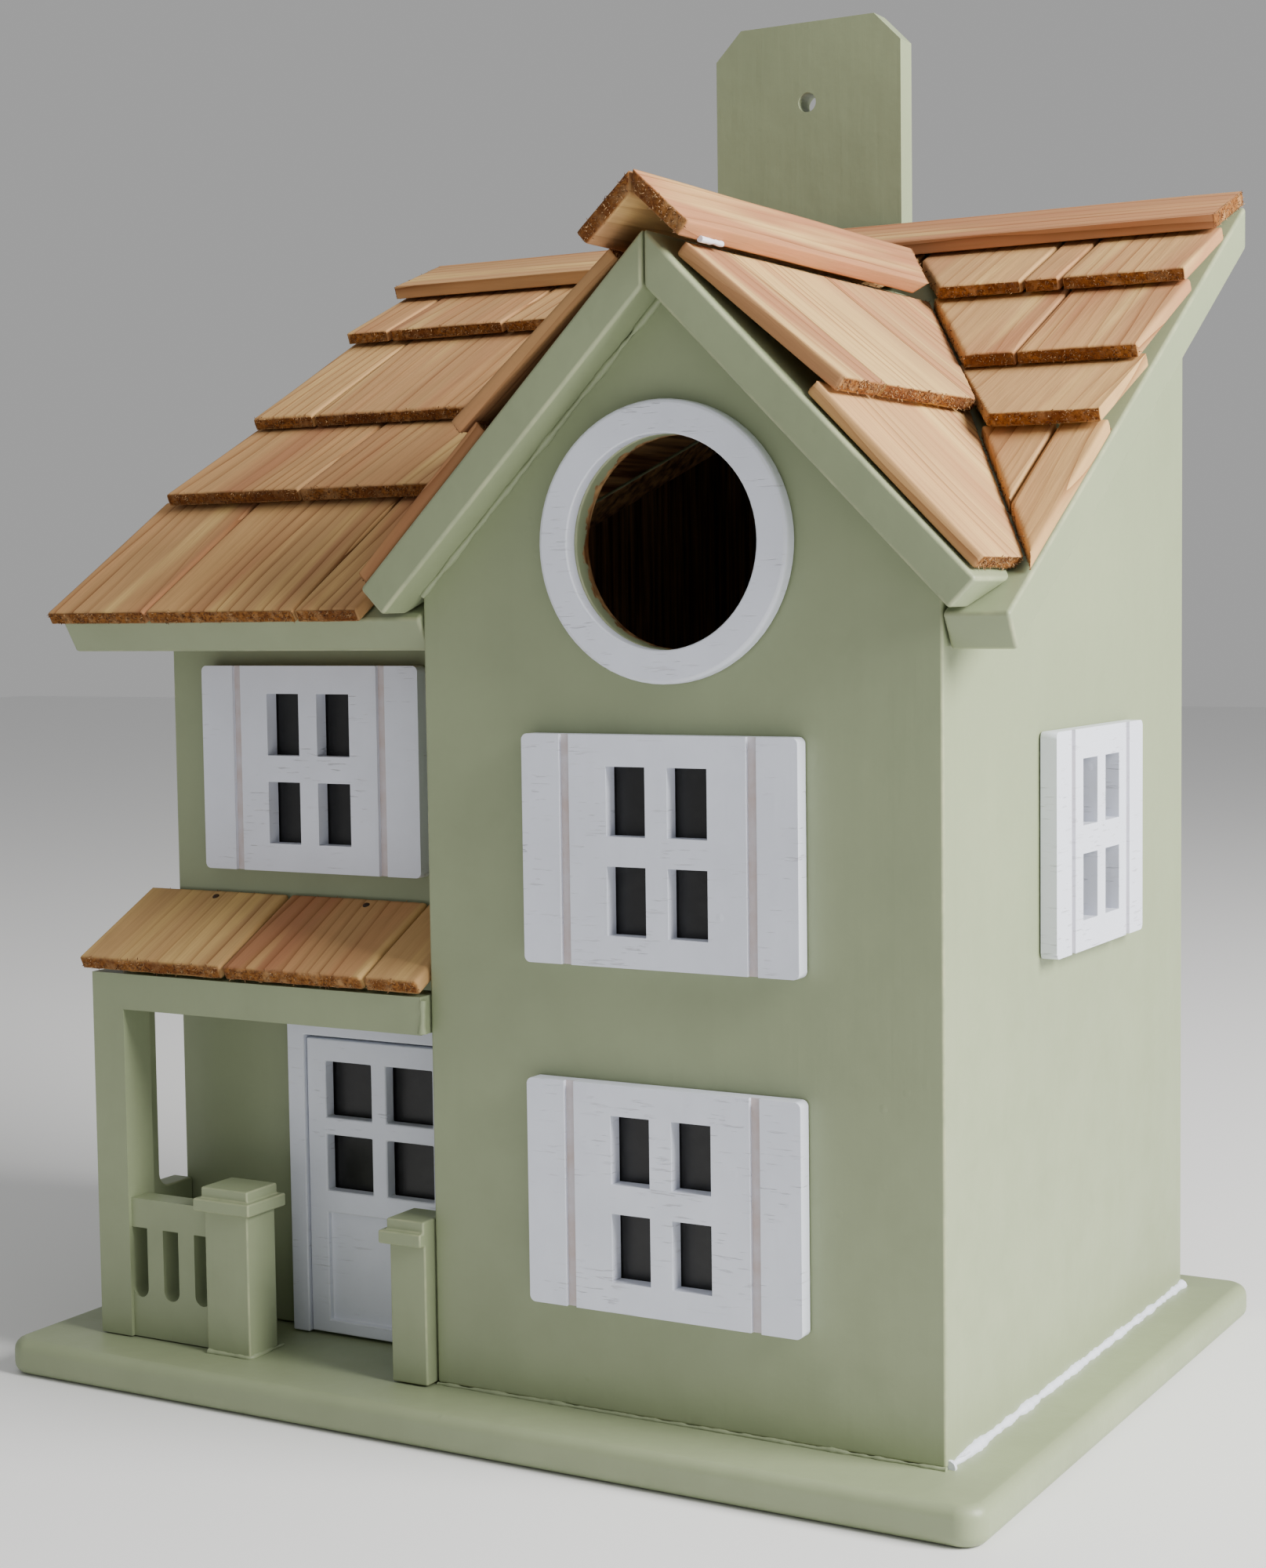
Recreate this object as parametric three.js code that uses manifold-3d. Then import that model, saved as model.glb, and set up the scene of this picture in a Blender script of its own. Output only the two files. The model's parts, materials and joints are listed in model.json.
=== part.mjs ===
// Cottage birdhouse: a tower with a cross gable and a round entry hole, a lower wing with a small
// porch, cedar shingles, and a hanging board at the back.  Millimetres, +Z up, front towards -Y.
import * as THREE from 'three';
import { mergeVertices } from 'three/addons/utils/BufferGeometryUtils.js';
import Module from 'manifold-3d';

const wasm = await Module();
wasm.setup();

// ---------------------------------------------------------------- driving dimensions

const GAP = 0.3; // clearance between pieces that touch

const BASE = { thick: 7.3, edgeRound: 2.4, cornerRound: 2.5 };

// The base runs past the house by these margins; at the back it ends flush with the hanging board.
const MARGIN = { front: 15.7, right: 12.3, left: 19.2 };

const WALL = 5;
const TOWER = { width: 105, depth: 131 };
const WING = { width: 77.5, setback: 20 };
const BACK = { thick: 4.7, sideInset: 3 };

const ENTRY = { radius: 19.05, centreZ: 159.7, ringRadius: 25.1, ringThick: 3 };

// Main roof: one slope rising from the front eaves to a ridge along the back.
const ROOF = {
  pitch: 31.5, thick: 7.5, eavesY: -1.2, eavesZ: 146.7, backOverhang: 3.5, leftOverhang: 11,
  rightOverhang: 12.3,
};

// Cross gable over the tower, with its peak this far below the back edge of the main roof.
const GABLE = { belowRidge: 16.06, eavesZ: 152.3, eavesOverhang: 9, thick: 7, frontOverhang: 8, shift: 0.25 };

const CAP = { flatter: 2.5, thick: 3.4, width: 15.4, frontOverhang: 12 };
const RIDGE_BOARD = { width: 21.5, thick: 3.4, leftInset: 4.5, setback: 0.5, lap: 4.85 };
const VALLEY_LAP = 5; // how far the gable's shingles run past the valley over the main roof
const SHINGLE = { thick: 3.1, eavesOverhang: 2, seam: 0.4 };
const LAP = 4.5; // how far a course reaches under the next one

// Shingle courses. The first butt is set up the slope from the eaves and the others down the slope from
// the top course's upper end. The inset is how far a course stops short of the rake, and the seams
// between its shingles are measured in from the rake.
const LEFT_COURSES = [
  { up: -SHINGLE.eavesOverhang, inset: -1.5, seams: [24.6, 61.5] },
  { down: 102.8, inset: 2.2, seams: [38] },
  { down: 69, inset: 3.6, seams: [20.5] },
  { down: 28, inset: 4.2, seams: [16.5, 48] },
];
const RIGHT_COURSES = [
  { up: 8, inset: 0.1, seams: [10] },
  { down: 85.6, inset: 0.2, seams: [] },
  { down: 60, inset: 0.4, seams: [25] },
  { down: 28, inset: 0.1, seams: [26, 34] },
];

// Gable shingles: the butts' places up the slope from the lower edge, how far the front edges stand
// back from the front of the deck, and where the seams lie, measured back from the front of the deck.
const GABLE_COURSES = {
  left: { lowerButt: 0.5, upperButt: 35, lowerInset: 1.5, upperInset: 0.8, upperSeams: [] },
  right: { lowerButt: 1.5, upperButt: 40, lowerInset: 0.8, upperInset: 1.6, upperSeams: [19, 57.5] },
};
const GABLE_TOP_END = 7; // how far the upper course stops short of the apex

// White window plates: a sash with four panes between two shutters.
const WINDOW = {
  width: 56, height: 42, thick: 3.2, paneWidth: 8, paneHeight: 12.6, barX: 4.5, barZ: 5.4, shutter: 9,
  groove: 2, grooveDepth: 0.8, cornerRound: 1.2,
};
const FRONT_WINDOWS = { left: 23.5, lowerZ: 20.2, upperZ: 83.6 };
const SIDE_WINDOW = { frontY: 45, z: 82.5, width: 49 };
const WING_WINDOW = { left: 10.5, z: 95.3, width: 54 };

const DOOR = {
  left: 30.7, frameWidth: 4.2, leafWidth: 35.4, height: 66, thick: 3.6, leafThick: 3, paneWidth: 12.5,
  paneHeight: 11.5, bar: 3.6, stile: 4.6, panelDepth: 1.2,
};

const PORCH = {
  front: 3, sideOut: 4, postWidth: 8, postDepth: 8, beamZ: 68, top: 75.3, railTop: 29, railHeight: 6,
  bottomRail: 8.5, panelThick: 5, slotWidth: 4, sideThick: 5, sideSill: 28.6, sideStile: 4, sideInset: 1,
};
const NEWEL = {
  width: 10.8, depth: 9, height: 29, capLower: 2.6, capUpper: 2.2, capOverhang: 1.6, proud: 1,
  fromCorner: 35.3,
};
const HALF_NEWEL = { width: 8.2, depth: 8.6, height: 27.4 };
const PORCH_ROOF = {
  frontY: -4.6, frontZ: 78.3, wallZ: 91, thick: 3.2, overhang: 2.6, widths: [0.44, 0.41, 0.15],
};

// Board behind the house with the hole that it hangs by.
const HANGER = {
  width: 46.5, bottomZ: 148, topZ: 280.5, thick: 6, chamfer: 6.5, hole: 4.4, holeDrop: 18, offset: 1.5,
};
const SCREW = { radius: 1.4, head: 3.2, length: 9.2, clearance: 0.35, fromBottom: [14, 44] };

// Clean-out door in the back panel, hung on two nails near its top edge.
const CLEANOUT = { right: 12, width: 48, sill: 22, height: 62.8, thick: 4.4, clearance: 0.5 };
const PIVOT_NAIL = { radius: 0.9, length: 9, clearance: 0.3 };
const BUTTON = {
  length: 24, width: 6, thick: 2.6, drop: 7, screwRadius: 1.2, screwHead: 2.8, screwHeadHeight: 1.5,
};

// ---------------------------------------------------------------- derived places

const rad = THREE.MathUtils.degToRad;
const houseLeft = -TOWER.width - WING.width;
const gableX = -TOWER.width / 2 + GABLE.shift;
const backPlane = TOWER.depth + GAP + BACK.thick;
const baseWidth = MARGIN.left + WING.width + TOWER.width + MARGIN.right;
const baseDepth = MARGIN.front + backPlane + GAP + HANGER.thick;
const roofLeft = houseLeft - ROOF.leftOverhang;
const roofRight = ROOF.rightOverhang;
const roofBack = TOWER.depth + ROOF.backOverhang;
const slope = Math.tan(rad(ROOF.pitch));
const verticalRoofThick = ROOF.thick / Math.cos(rad(ROOF.pitch));
const roofTopAt = (y) => ROOF.eavesZ + (y - ROOF.eavesY) * slope;
const gableApexZ = roofTopAt(roofBack) - GABLE.belowRidge;
const gableHalf = TOWER.width / 2 + GABLE.eavesOverhang;
const gableSlope = (gableApexZ - GABLE.eavesZ) / gableHalf;
const gablePitch = THREE.MathUtils.radToDeg(Math.atan(gableSlope));
const gableSlopeWidth = gableHalf / Math.cos(rad(gablePitch));
const gableInnerZ = gableApexZ - GABLE.thick / Math.cos(rad(gablePitch));
const capPitch = gablePitch - CAP.flatter;
const ridgeTop = (roofBack - ROOF.eavesY) / Math.cos(rad(ROOF.pitch)) - RIDGE_BOARD.setback;
const topCourseEnd = ridgeTop - RIDGE_BOARD.width + RIDGE_BOARD.lap;
const hangerX = houseLeft / 2 + HANGER.offset;
const HIGH = 400; // taller than anything here, for cutting solids

// ---------------------------------------------------------------- solids

// A closed three.js geometry as a manifold solid.
function solid(geometry) {
  const bare = geometry.index ? geometry.toNonIndexed() : geometry.clone();
  bare.deleteAttribute('normal');
  bare.deleteAttribute('uv');
  const merged = mergeVertices(bare, 1e-4);
  return new wasm.Manifold(new wasm.Mesh({
    numProp: 3,
    vertProperties: new Float32Array(merged.attributes.position.array),
    triVerts: new Uint32Array(merged.index.array),
  }));
}

function geometryOf(manifold) {
  const mesh = manifold.getMesh();
  const geometry = new THREE.BufferGeometry();
  geometry.setAttribute('position', new THREE.BufferAttribute(new Float32Array(mesh.vertProperties), 3));
  geometry.setIndex(new THREE.BufferAttribute(new Uint32Array(mesh.triVerts), 1));
  const flat = geometry.toNonIndexed();
  flat.computeVertexNormals();
  return flat;
}

function boxGeometry([x0, x1], [y0, y1], [z0, z1]) {
  const box = new THREE.BoxGeometry(x1 - x0, y1 - y0, z1 - z0);
  return box.translate((x0 + x1) / 2, (y0 + y1) / 2, (z0 + z1) / 2);
}

const block = (xs, ys, zs) => solid(boxGeometry(xs, ys, zs));

// Shape from points, extruded along Z from 0 to length.
function extrude(points, length, curveSegments = 12) {
  const shape = points instanceof THREE.Shape
    ? points
    : new THREE.Shape(points.map(([a, b]) => new THREE.Vector2(a, b)));
  return new THREE.ExtrudeGeometry(shape, { depth: length, bevelEnabled: false, curveSegments });
}

// Outline in (y, z), extruded along X.
function prismX(points, [x0, x1]) {
  const turn = new THREE.Matrix4().makeBasis(
    new THREE.Vector3(0, 1, 0), new THREE.Vector3(0, 0, 1), new THREE.Vector3(1, 0, 0));
  return solid(extrude(points, x1 - x0).applyMatrix4(turn).translate(x0, 0, 0));
}

// Outline in (x, z), extruded along Y.
function prismY(points, [y0, y1]) {
  const turn = new THREE.Matrix4().makeBasis(
    new THREE.Vector3(1, 0, 0), new THREE.Vector3(0, 0, 1), new THREE.Vector3(0, -1, 0));
  return solid(extrude(points, y1 - y0).applyMatrix4(turn).translate(0, y1, 0));
}

// Outline in (x, y), extruded along Z.
const prismZ = (points, [z0, z1]) => solid(extrude(points, z1 - z0).translate(0, 0, z0));

function cylinder(radius, axis, from, length, segments = 32) {
  const rod = new THREE.CylinderGeometry(radius, radius, length, segments);
  if (axis === 'x') rod.rotateZ(-Math.PI / 2).translate(length / 2, 0, 0);
  if (axis === 'y') rod.translate(0, length / 2, 0);
  if (axis === 'z') rod.rotateX(Math.PI / 2).translate(0, 0, length / 2);
  return solid(rod.translate(...from));
}

// Turned shape about an axis along +Y: profile pairs are [radius, y].
function turnedY(profile, [x, y, z], segments = 32) {
  const points = profile.map(([r, h]) => new THREE.Vector2(r, h));
  return solid(new THREE.LatheGeometry(points, segments).translate(x, y, z));
}

// Rectangle with rounded corners, as a shape.
function roundedRect([a0, a1], [b0, b1], radius, Outline = THREE.Shape) {
  const shape = new Outline();
  shape.moveTo(a0 + radius, b0);
  shape.lineTo(a1 - radius, b0);
  shape.absarc(a1 - radius, b0 + radius, radius, -Math.PI / 2, 0);
  shape.lineTo(a1, b1 - radius);
  shape.absarc(a1 - radius, b1 - radius, radius, 0, Math.PI / 2);
  shape.lineTo(a0 + radius, b1);
  shape.absarc(a0 + radius, b1 - radius, radius, Math.PI / 2, Math.PI);
  shape.lineTo(a0, b0 + radius);
  shape.absarc(a0 + radius, b0 + radius, radius, Math.PI, 1.5 * Math.PI);
  return shape;
}

// ---------------------------------------------------------------- materials and scene graph

const birdhouse = new THREE.Group();
const house = new THREE.Group();
house.position.set(baseWidth / 2 - MARGIN.right, -baseDepth / 2 + MARGIN.front, BASE.thick);
birdhouse.add(house);

const COLOUR = {
  green: 0x9aa58a, white: 0xe8e8e6, cedarTan: 0xc79a66, cedarPink: 0xb9775a, cedarLight: 0xd9b988,
  steel: 0x8d8f92,
};

const CEDARS = [COLOUR.cedarTan, COLOUR.cedarPink, COLOUR.cedarLight];

function addPiece(name, manifold, colour, { roughness = 0.6, metalness = 0, parent = house } = {}) {
  const material = new THREE.MeshStandardMaterial({ color: colour, roughness, metalness });
  const mesh = new THREE.Mesh(geometryOf(manifold), material);
  mesh.name = name;
  parent.add(mesh);
  return mesh;
}

// ---------------------------------------------------------------- base

function baseBoard() {
  const r = BASE.edgeRound;
  const halfWidth = baseWidth / 2 - r;
  const halfDepth = baseDepth / 2 - r;
  const outline = roundedRect([-halfWidth, halfWidth], [-halfDepth, halfDepth], BASE.cornerRound);
  const board = new THREE.ExtrudeGeometry(outline, {
    depth: BASE.thick - 2 * r, bevelThickness: r, bevelSize: r, bevelSegments: 5, curveSegments: 6,
  });
  return solid(board.translate(0, 0, r));
}
addPiece('base_board', baseBoard(), COLOUR.green, { parent: birdhouse });

// ---------------------------------------------------------------- room under the roofs

// Everything below the main roof deck, and everything below the gable decks, each a clearance lower.
function underMainRoof(clearance) {
  const under = (y) => roofTopAt(y) - verticalRoofThick - clearance;
  const front = -60;
  const back = TOWER.depth + 60;
  return prismX([[front, -50], [back, -50], [back, under(back)], [front, under(front)]], [-HIGH, HIGH]);
}

function underGable(clearance) {
  const peak = gableInnerZ - clearance;
  const half = gableSlopeWidth;
  const foot = peak - half * gableSlope;
  return prismY([[gableX - half, foot], [gableX + half, foot], [gableX, peak]], [-40, HIGH]);
}

// The gable lifts the roof over the tower only: the wing's walls stop under the main roof.
const towerColumn = (reach) => block([-TOWER.width - reach, reach], [-HIGH, HIGH], [-HIGH, HIGH]);
const room = underMainRoof(GAP).add(underGable(GAP).intersect(towerColumn(0)));
const wall = (xs, ys) => block(xs, ys, [GAP, HIGH]).intersect(room);

// ---------------------------------------------------------------- walls

const towerLeft = -TOWER.width;
const behindFront = WALL + GAP;
const entryAxis = [gableX, -10, ENTRY.centreZ];
const entryBore = cylinder(ENTRY.radius, 'y', entryAxis, WALL + 20, 64);

addPiece('tower_front_panel', wall([towerLeft, 0], [0, WALL]).subtract(entryBore), COLOUR.green);
addPiece('right_side_panel', wall([-WALL, 0], [behindFront, TOWER.depth]), COLOUR.green);
addPiece('tower_left_panel', wall([towerLeft, towerLeft + WALL], [behindFront, TOWER.depth]), COLOUR.green);
addPiece('left_side_panel',
  wall([houseLeft, houseLeft + WALL], [WING.setback + behindFront, TOWER.depth]), COLOUR.green);
addPiece('wing_front_panel',
  wall([houseLeft, towerLeft - GAP], [WING.setback, WING.setback + WALL]), COLOUR.green);

// ---------------------------------------------------------------- back panel, clean-out door, button

const panelY = [TOWER.depth + GAP, backPlane];
const panelTop = roofTopAt(TOWER.depth) - verticalRoofThick - GAP;
const doorway = {
  x: [-CLEANOUT.right - CLEANOUT.width, -CLEANOUT.right],
  z: [CLEANOUT.sill, CLEANOUT.sill + CLEANOUT.height],
};
const doorMidY = backPlane - CLEANOUT.thick / 2 - (BACK.thick - CLEANOUT.thick) / 2;
const hinge = { y: doorMidY, z: doorway.z[1] - CLEANOUT.clearance - CLEANOUT.thick / 2 };
const buttonPivot = [(doorway.x[0] + doorway.x[1]) / 2, backPlane, doorway.z[0] - BUTTON.drop];
const hangerY = [backPlane + GAP, backPlane + GAP + HANGER.thick];
const screwZ = SCREW.fromBottom.map((height) => HANGER.bottomZ + height);

function hangerScrewHoles() {
  const radius = SCREW.radius + SCREW.clearance;
  const bores = screwZ.map((z) => cylinder(radius, 'y', [hangerX, TOWER.depth - 5, z], 60, 20));
  return bores[0].add(bores[1]);
}

function nailBores() {
  const reach = PIVOT_NAIL.length / 2 + PIVOT_NAIL.clearance;
  const radius = PIVOT_NAIL.radius + PIVOT_NAIL.clearance;
  const bores = doorway.x.map((x) => cylinder(radius, 'x', [x - reach, hinge.y, hinge.z], 2 * reach, 20));
  return bores[0].add(bores[1]);
}

function backPanel() {
  const side = BACK.sideInset;
  const buttonAxis = [buttonPivot[0], TOWER.depth, buttonPivot[2]];
  const button = cylinder(BUTTON.screwRadius + GAP, 'y', buttonAxis, 20, 20);
  return block([houseLeft + side, -side], panelY, [GAP, panelTop])
    .subtract(block(doorway.x, [TOWER.depth - 5, backPlane + 5], doorway.z))
    .subtract(hangerScrewHoles())
    .subtract(nailBores())
    .subtract(button);
}
addPiece('back_panel', backPanel(), COLOUR.green);

function cleanOutDoor() {
  const half = CLEANOUT.thick / 2;
  const xs = [doorway.x[0] + CLEANOUT.clearance, doorway.x[1] - CLEANOUT.clearance];
  const leaf = block(xs, [hinge.y - half, hinge.y + half], [doorway.z[0] + CLEANOUT.clearance, hinge.z]);
  const roundTop = cylinder(half, 'x', [xs[0], hinge.y, hinge.z], xs[1] - xs[0], 24);
  return leaf.add(roundTop).subtract(nailBores());
}
addPiece('clean_out_door', cleanOutDoor(), COLOUR.green);

['left', 'right'].forEach((side, i) => {
  const from = [doorway.x[i] - PIVOT_NAIL.length / 2, hinge.y, hinge.z];
  const nail = cylinder(PIVOT_NAIL.radius, 'x', from, PIVOT_NAIL.length, 16);
  addPiece(`pivot_nail_${side}`, nail, COLOUR.steel, { roughness: 0.35, metalness: 1 });
});

function turnButton() {
  const [x, y, z] = buttonPivot;
  const r = BUTTON.width / 2;
  const half = BUTTON.length / 2;
  const outline = roundedRect([x - half, x + half], [z - r, z + r], r - 0.01);
  const bore = cylinder(BUTTON.screwRadius + GAP, 'y', [x, y - 5, z], 20, 20);
  return prismY(outline, [y + GAP, y + GAP + BUTTON.thick]).subtract(bore);
}
addPiece('turn_button', turnButton(), COLOUR.green);

function roundHeadScrew() {
  const [x, y, z] = buttonPivot;
  const shank = BUTTON.screwRadius;
  const under = 2 * GAP + BUTTON.thick;
  const top = under + BUTTON.screwHeadHeight;
  const head = BUTTON.screwHead;
  return turnedY([[0, -BACK.thick + 0.5], [shank, -BACK.thick + 0.5], [shank, under], [head, under],
    [head, under + 0.4], [head * 0.75, top - 0.25], [head * 0.4, top], [0, top]], [x, y, z], 24);
}
addPiece('turn_button_screw', roundHeadScrew(), COLOUR.steel, { roughness: 0.35, metalness: 1 });

// ---------------------------------------------------------------- hanging board

const headDepth = SCREW.head - SCREW.radius;

function hangingBoard() {
  const [x0, x1] = [hangerX - HANGER.width / 2, hangerX + HANGER.width / 2];
  const c = HANGER.chamfer;
  const outline = [[x0, HANGER.bottomZ], [x1, HANGER.bottomZ], [x1, HANGER.topZ - c], [x1 - c, HANGER.topZ],
    [x0 + c, HANGER.topZ], [x0, HANGER.topZ - c]];
  const holeAxis = [hangerX, hangerY[0] - 5, HANGER.topZ - HANGER.holeDrop];
  const hole = cylinder(HANGER.hole / 2, 'y', holeAxis, 30, 28);
  let board = prismY(outline, hangerY).subtract(hole).subtract(hangerScrewHoles());
  for (const z of screwZ) {
    const wide = SCREW.head + 2 * SCREW.clearance;
    const mouth = [hangerX, hangerY[1] + SCREW.clearance, z];
    const sink = turnedY([[0, -wide], [wide, 0], [wide, 1], [0, 1]], mouth, 24);
    board = board.subtract(sink);
  }
  return board;
}
addPiece('hanging_board', hangingBoard(), COLOUR.green);

['lower', 'upper'].forEach((place, i) => {
  const r = SCREW.radius;
  const screw = turnedY([[0, -SCREW.length], [r, -SCREW.length], [r, -headDepth], [SCREW.head, 0], [0, 0]],
    [hangerX, hangerY[1] - GAP, screwZ[i]], 24);
  addPiece(`hanging_board_screw_${place}`, screw, COLOUR.steel, { roughness: 0.35, metalness: 1 });
});

// ---------------------------------------------------------------- roof decks

function mainRoofDeck() {
  const lean = rad(ROOF.pitch);
  const frontTop = [ROOF.eavesY, ROOF.eavesZ];
  const frontBottom = [ROOF.eavesY + ROOF.thick * Math.sin(lean), ROOF.eavesZ - ROOF.thick * Math.cos(lean)];
  const backTop = [roofBack, roofTopAt(roofBack)];
  const backBottom = [roofBack, roofTopAt(roofBack) - verticalRoofThick];
  return prismX([frontTop, frontBottom, backBottom, backTop], [roofLeft, roofRight])
    .subtract(underGable(0).intersect(towerColumn(GAP)));
}
addPiece('main_roof_deck', mainRoofDeck(), COLOUR.green);

// Frames with X along the eaves, Y up the slope and Z out of the roof face.
const mainFrame = new THREE.Matrix4()
  .makeBasis(new THREE.Vector3(1, 0, 0),
    new THREE.Vector3(0, Math.cos(rad(ROOF.pitch)), Math.sin(rad(ROOF.pitch))),
    new THREE.Vector3(0, -Math.sin(rad(ROOF.pitch)), Math.cos(rad(ROOF.pitch))))
  .setPosition(0, ROOF.eavesY, ROOF.eavesZ);

// side is +1 on the right of the gable and -1 on its left; X runs towards the back on the right.
function gableFrame(side, pitch, apexZ, width) {
  const c = Math.cos(rad(pitch));
  const s = Math.sin(rad(pitch));
  return new THREE.Matrix4()
    .makeBasis(new THREE.Vector3(0, side, 0),
      new THREE.Vector3(-side * c, 0, s),
      new THREE.Vector3(side * s, 0, c))
    .setPosition(gableX + side * width * c, 0, apexZ - width * s);
}

function inFrame(frame, xs, slopes, normals) {
  return solid(boxGeometry(xs, slopes, normals).applyMatrix4(frame));
}

const mainSurface = (lift) => inFrame(mainFrame, [-HIGH, HIGH], [-HIGH, HIGH], [-HIGH, lift]);
const sideHalf = (side) => block(side > 0 ? [gableX + GAP / 2, HIGH] : [-HIGH, gableX - GAP / 2],
  [-HIGH, HIGH], [-HIGH, HIGH]);
const alongY = (side, front, back) => (side > 0 ? [front, back] : [-back, -front]);

function gableDeck(side) {
  const frame = gableFrame(side, gablePitch, gableApexZ, gableSlopeWidth);
  const back = (gableApexZ - roofTopAt(0)) / slope + 10;
  const board = inFrame(frame, alongY(side, -GABLE.frontOverhang, back),
    [0, gableSlopeWidth + GABLE.thick], [-GABLE.thick, 0]);
  return board.intersect(sideHalf(side)).subtract(mainSurface(GAP));
}
addPiece('gable_deck_left', gableDeck(-1), COLOUR.green);
addPiece('gable_deck_right', gableDeck(1), COLOUR.green);

// ---------------------------------------------------------------- shingles

// One shingle in a roof frame: its upper end lies on the deck and its butt is raised by the tilt.
function shingle(frame, xs, butt, top, tilt, thick = SHINGLE.thick) {
  const geometry = boxGeometry(xs, [butt - top, 0], [0, thick]);
  geometry.rotateX(-tilt).translate(0, top, GAP);
  return solid(geometry.applyMatrix4(frame));
}

// Tilt of a shingle that rests on the upper end of the course below it.
const tiltOver = (top, topBelow, thick = SHINGLE.thick) => Math.atan((thick + GAP) / (top - topBelow));

// The valleys in plan: the lines where the gable's faces meet the main roof's face.
const valleyY = (gableApexZ - ROOF.eavesZ) / slope + ROOF.eavesY;
function valleyWedge(shift) {
  const front = -60;
  const half = (valleyY + shift - front) * slope / gableSlope;
  return prismZ([[gableX - half, front], [gableX + half, front], [gableX, valleyY + shift]], [-HIGH, HIGH]);
}

// On the left the shingles also fill the corner beyond the gable's lower edge.
function outsideGable(piece, side) {
  const wedge = valleyWedge(VALLEY_LAP + GAP);
  if (side > 0) return piece.subtract(wedge);
  const foot = gableX - gableHalf - SHINGLE.thick - 2 * GAP;
  return piece.subtract(wedge.intersect(block([foot, HIGH], [-HIGH, HIGH], [-HIGH, HIGH])));
}

const buttOf = ({ up, down }) => (down === undefined ? up : topCourseEnd - down);

function addCourses(courses, side) {
  const rake = side < 0 ? roofLeft : roofRight;
  const name = side < 0 ? 'left' : 'right';
  let topBelow = null;
  courses.forEach((course, row) => {
    const { inset, seams } = course;
    const butt = buttOf(course);
    const top = row + 1 < courses.length ? buttOf(courses[row + 1]) + LAP : topCourseEnd;
    const tilt = topBelow === null ? 0 : tiltOver(top, topBelow);
    const ends = [inset, ...seams, side * (rake - gableX) - GAP];
    for (let i = 0; i + 1 < ends.length; i += 1) {
      const outer = rake - side * ends[i];
      const inner = rake - side * (ends[i + 1] - SHINGLE.seam);
      const xs = [Math.min(outer, inner), Math.max(outer, inner)];
      const piece = outsideGable(shingle(mainFrame, xs, butt, top, tilt), side);
      addPiece(`shingle_${name}_${row + 1}_${i + 1}`, piece, CEDARS[(row + i) % CEDARS.length]);
    }
    topBelow = top;
  });
}
addCourses(LEFT_COURSES, -1);
addCourses(RIGHT_COURSES, 1);

// The ridge board lies on the last course along its front edge and on the deck along its back edge.
function ridgeBoard() {
  const butt = ridgeTop - RIDGE_BOARD.width;
  const tilt = tiltOver(ridgeTop, topCourseEnd);
  const xs = [roofLeft + RIDGE_BOARD.leftInset, roofRight];
  return shingle(mainFrame, xs, butt, ridgeTop, tilt, RIDGE_BOARD.thick);
}
addPiece('main_ridge_board', ridgeBoard(), COLOUR.cedarPink);

function gableShingle(side, ys, butt, top, tilt) {
  const frame = gableFrame(side, gablePitch, gableApexZ, gableSlopeWidth);
  return shingle(frame, alongY(side, ...ys), butt, top, tilt);
}

const insideGable = (piece) => piece.intersect(valleyWedge(VALLEY_LAP)).subtract(mainSurface(GAP));

function addGableShingles(side) {
  const name = side < 0 ? 'left' : 'right';
  const course = GABLE_COURSES[name];
  const front = -GABLE.frontOverhang;
  const back = valleyY + VALLEY_LAP;
  const lowerTop = course.upperButt + LAP;
  const lower = gableShingle(side, [front + course.lowerInset, back], course.lowerButt, lowerTop, 0);
  addPiece(`gable_shingle_${name}_lower`, insideGable(lower), COLOUR.cedarLight);

  const top = gableSlopeWidth - GABLE_TOP_END;
  const tilt = tiltOver(top, lowerTop);
  const edges = [front + course.upperInset, ...course.upperSeams.map((seam) => front + seam), back];
  for (let i = 0; i + 1 < edges.length; i += 1) {
    const piece = gableShingle(side, [edges[i], edges[i + 1] - SHINGLE.seam], course.upperButt, top, tilt);
    addPiece(`gable_shingle_${name}_upper_${i + 1}`, insideGable(piece), CEDARS[(i + 1) % CEDARS.length]);
  }
  return tilt;
}

// Height above the main deck that clears every shingle of the top course.
const topCourseLength = LEFT_COURSES.at(-1).down;
const topCourseTilt = tiltOver(topCourseEnd, topCourseEnd - topCourseLength + LAP);
const capClearance = 3 * GAP + SHINGLE.thick + topCourseLength * Math.tan(topCourseTilt);

// The cap boards rest on the upper course: high enough to clear its top faces at their lower edges.
function ridgeCap(side, tilt) {
  const reach = CAP.width - CAP.thick * Math.tan(rad(gablePitch - capPitch));
  const onCourse = (GAP + SHINGLE.thick) / Math.cos(tilt)
    + Math.max(0, reach - GABLE_TOP_END) * Math.tan(tilt) + GAP;
  const deckDrop = reach * Math.sin(rad(gablePitch));
  const capDrop = reach * Math.cos(rad(gablePitch)) * Math.tan(rad(capPitch));
  const apexUnder = gableApexZ - deckDrop + onCourse / Math.cos(rad(gablePitch)) + capDrop;
  const apex = apexUnder + CAP.thick / Math.cos(rad(capPitch));
  const frame = gableFrame(side, capPitch, apex, CAP.width);
  const front = -CAP.frontOverhang;
  const board = inFrame(frame, alongY(side, front, HIGH), [0, CAP.width + CAP.thick * 2], [-CAP.thick, 0]);
  return board.intersect(sideHalf(side)).subtract(mainSurface(capClearance));
}

for (const side of [-1, 1]) {
  const tilt = addGableShingles(side);
  addPiece(`gable_ridge_cap_${side < 0 ? 'left' : 'right'}`, ridgeCap(side, tilt), COLOUR.cedarPink);
}

// ---------------------------------------------------------------- entry ring

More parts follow.
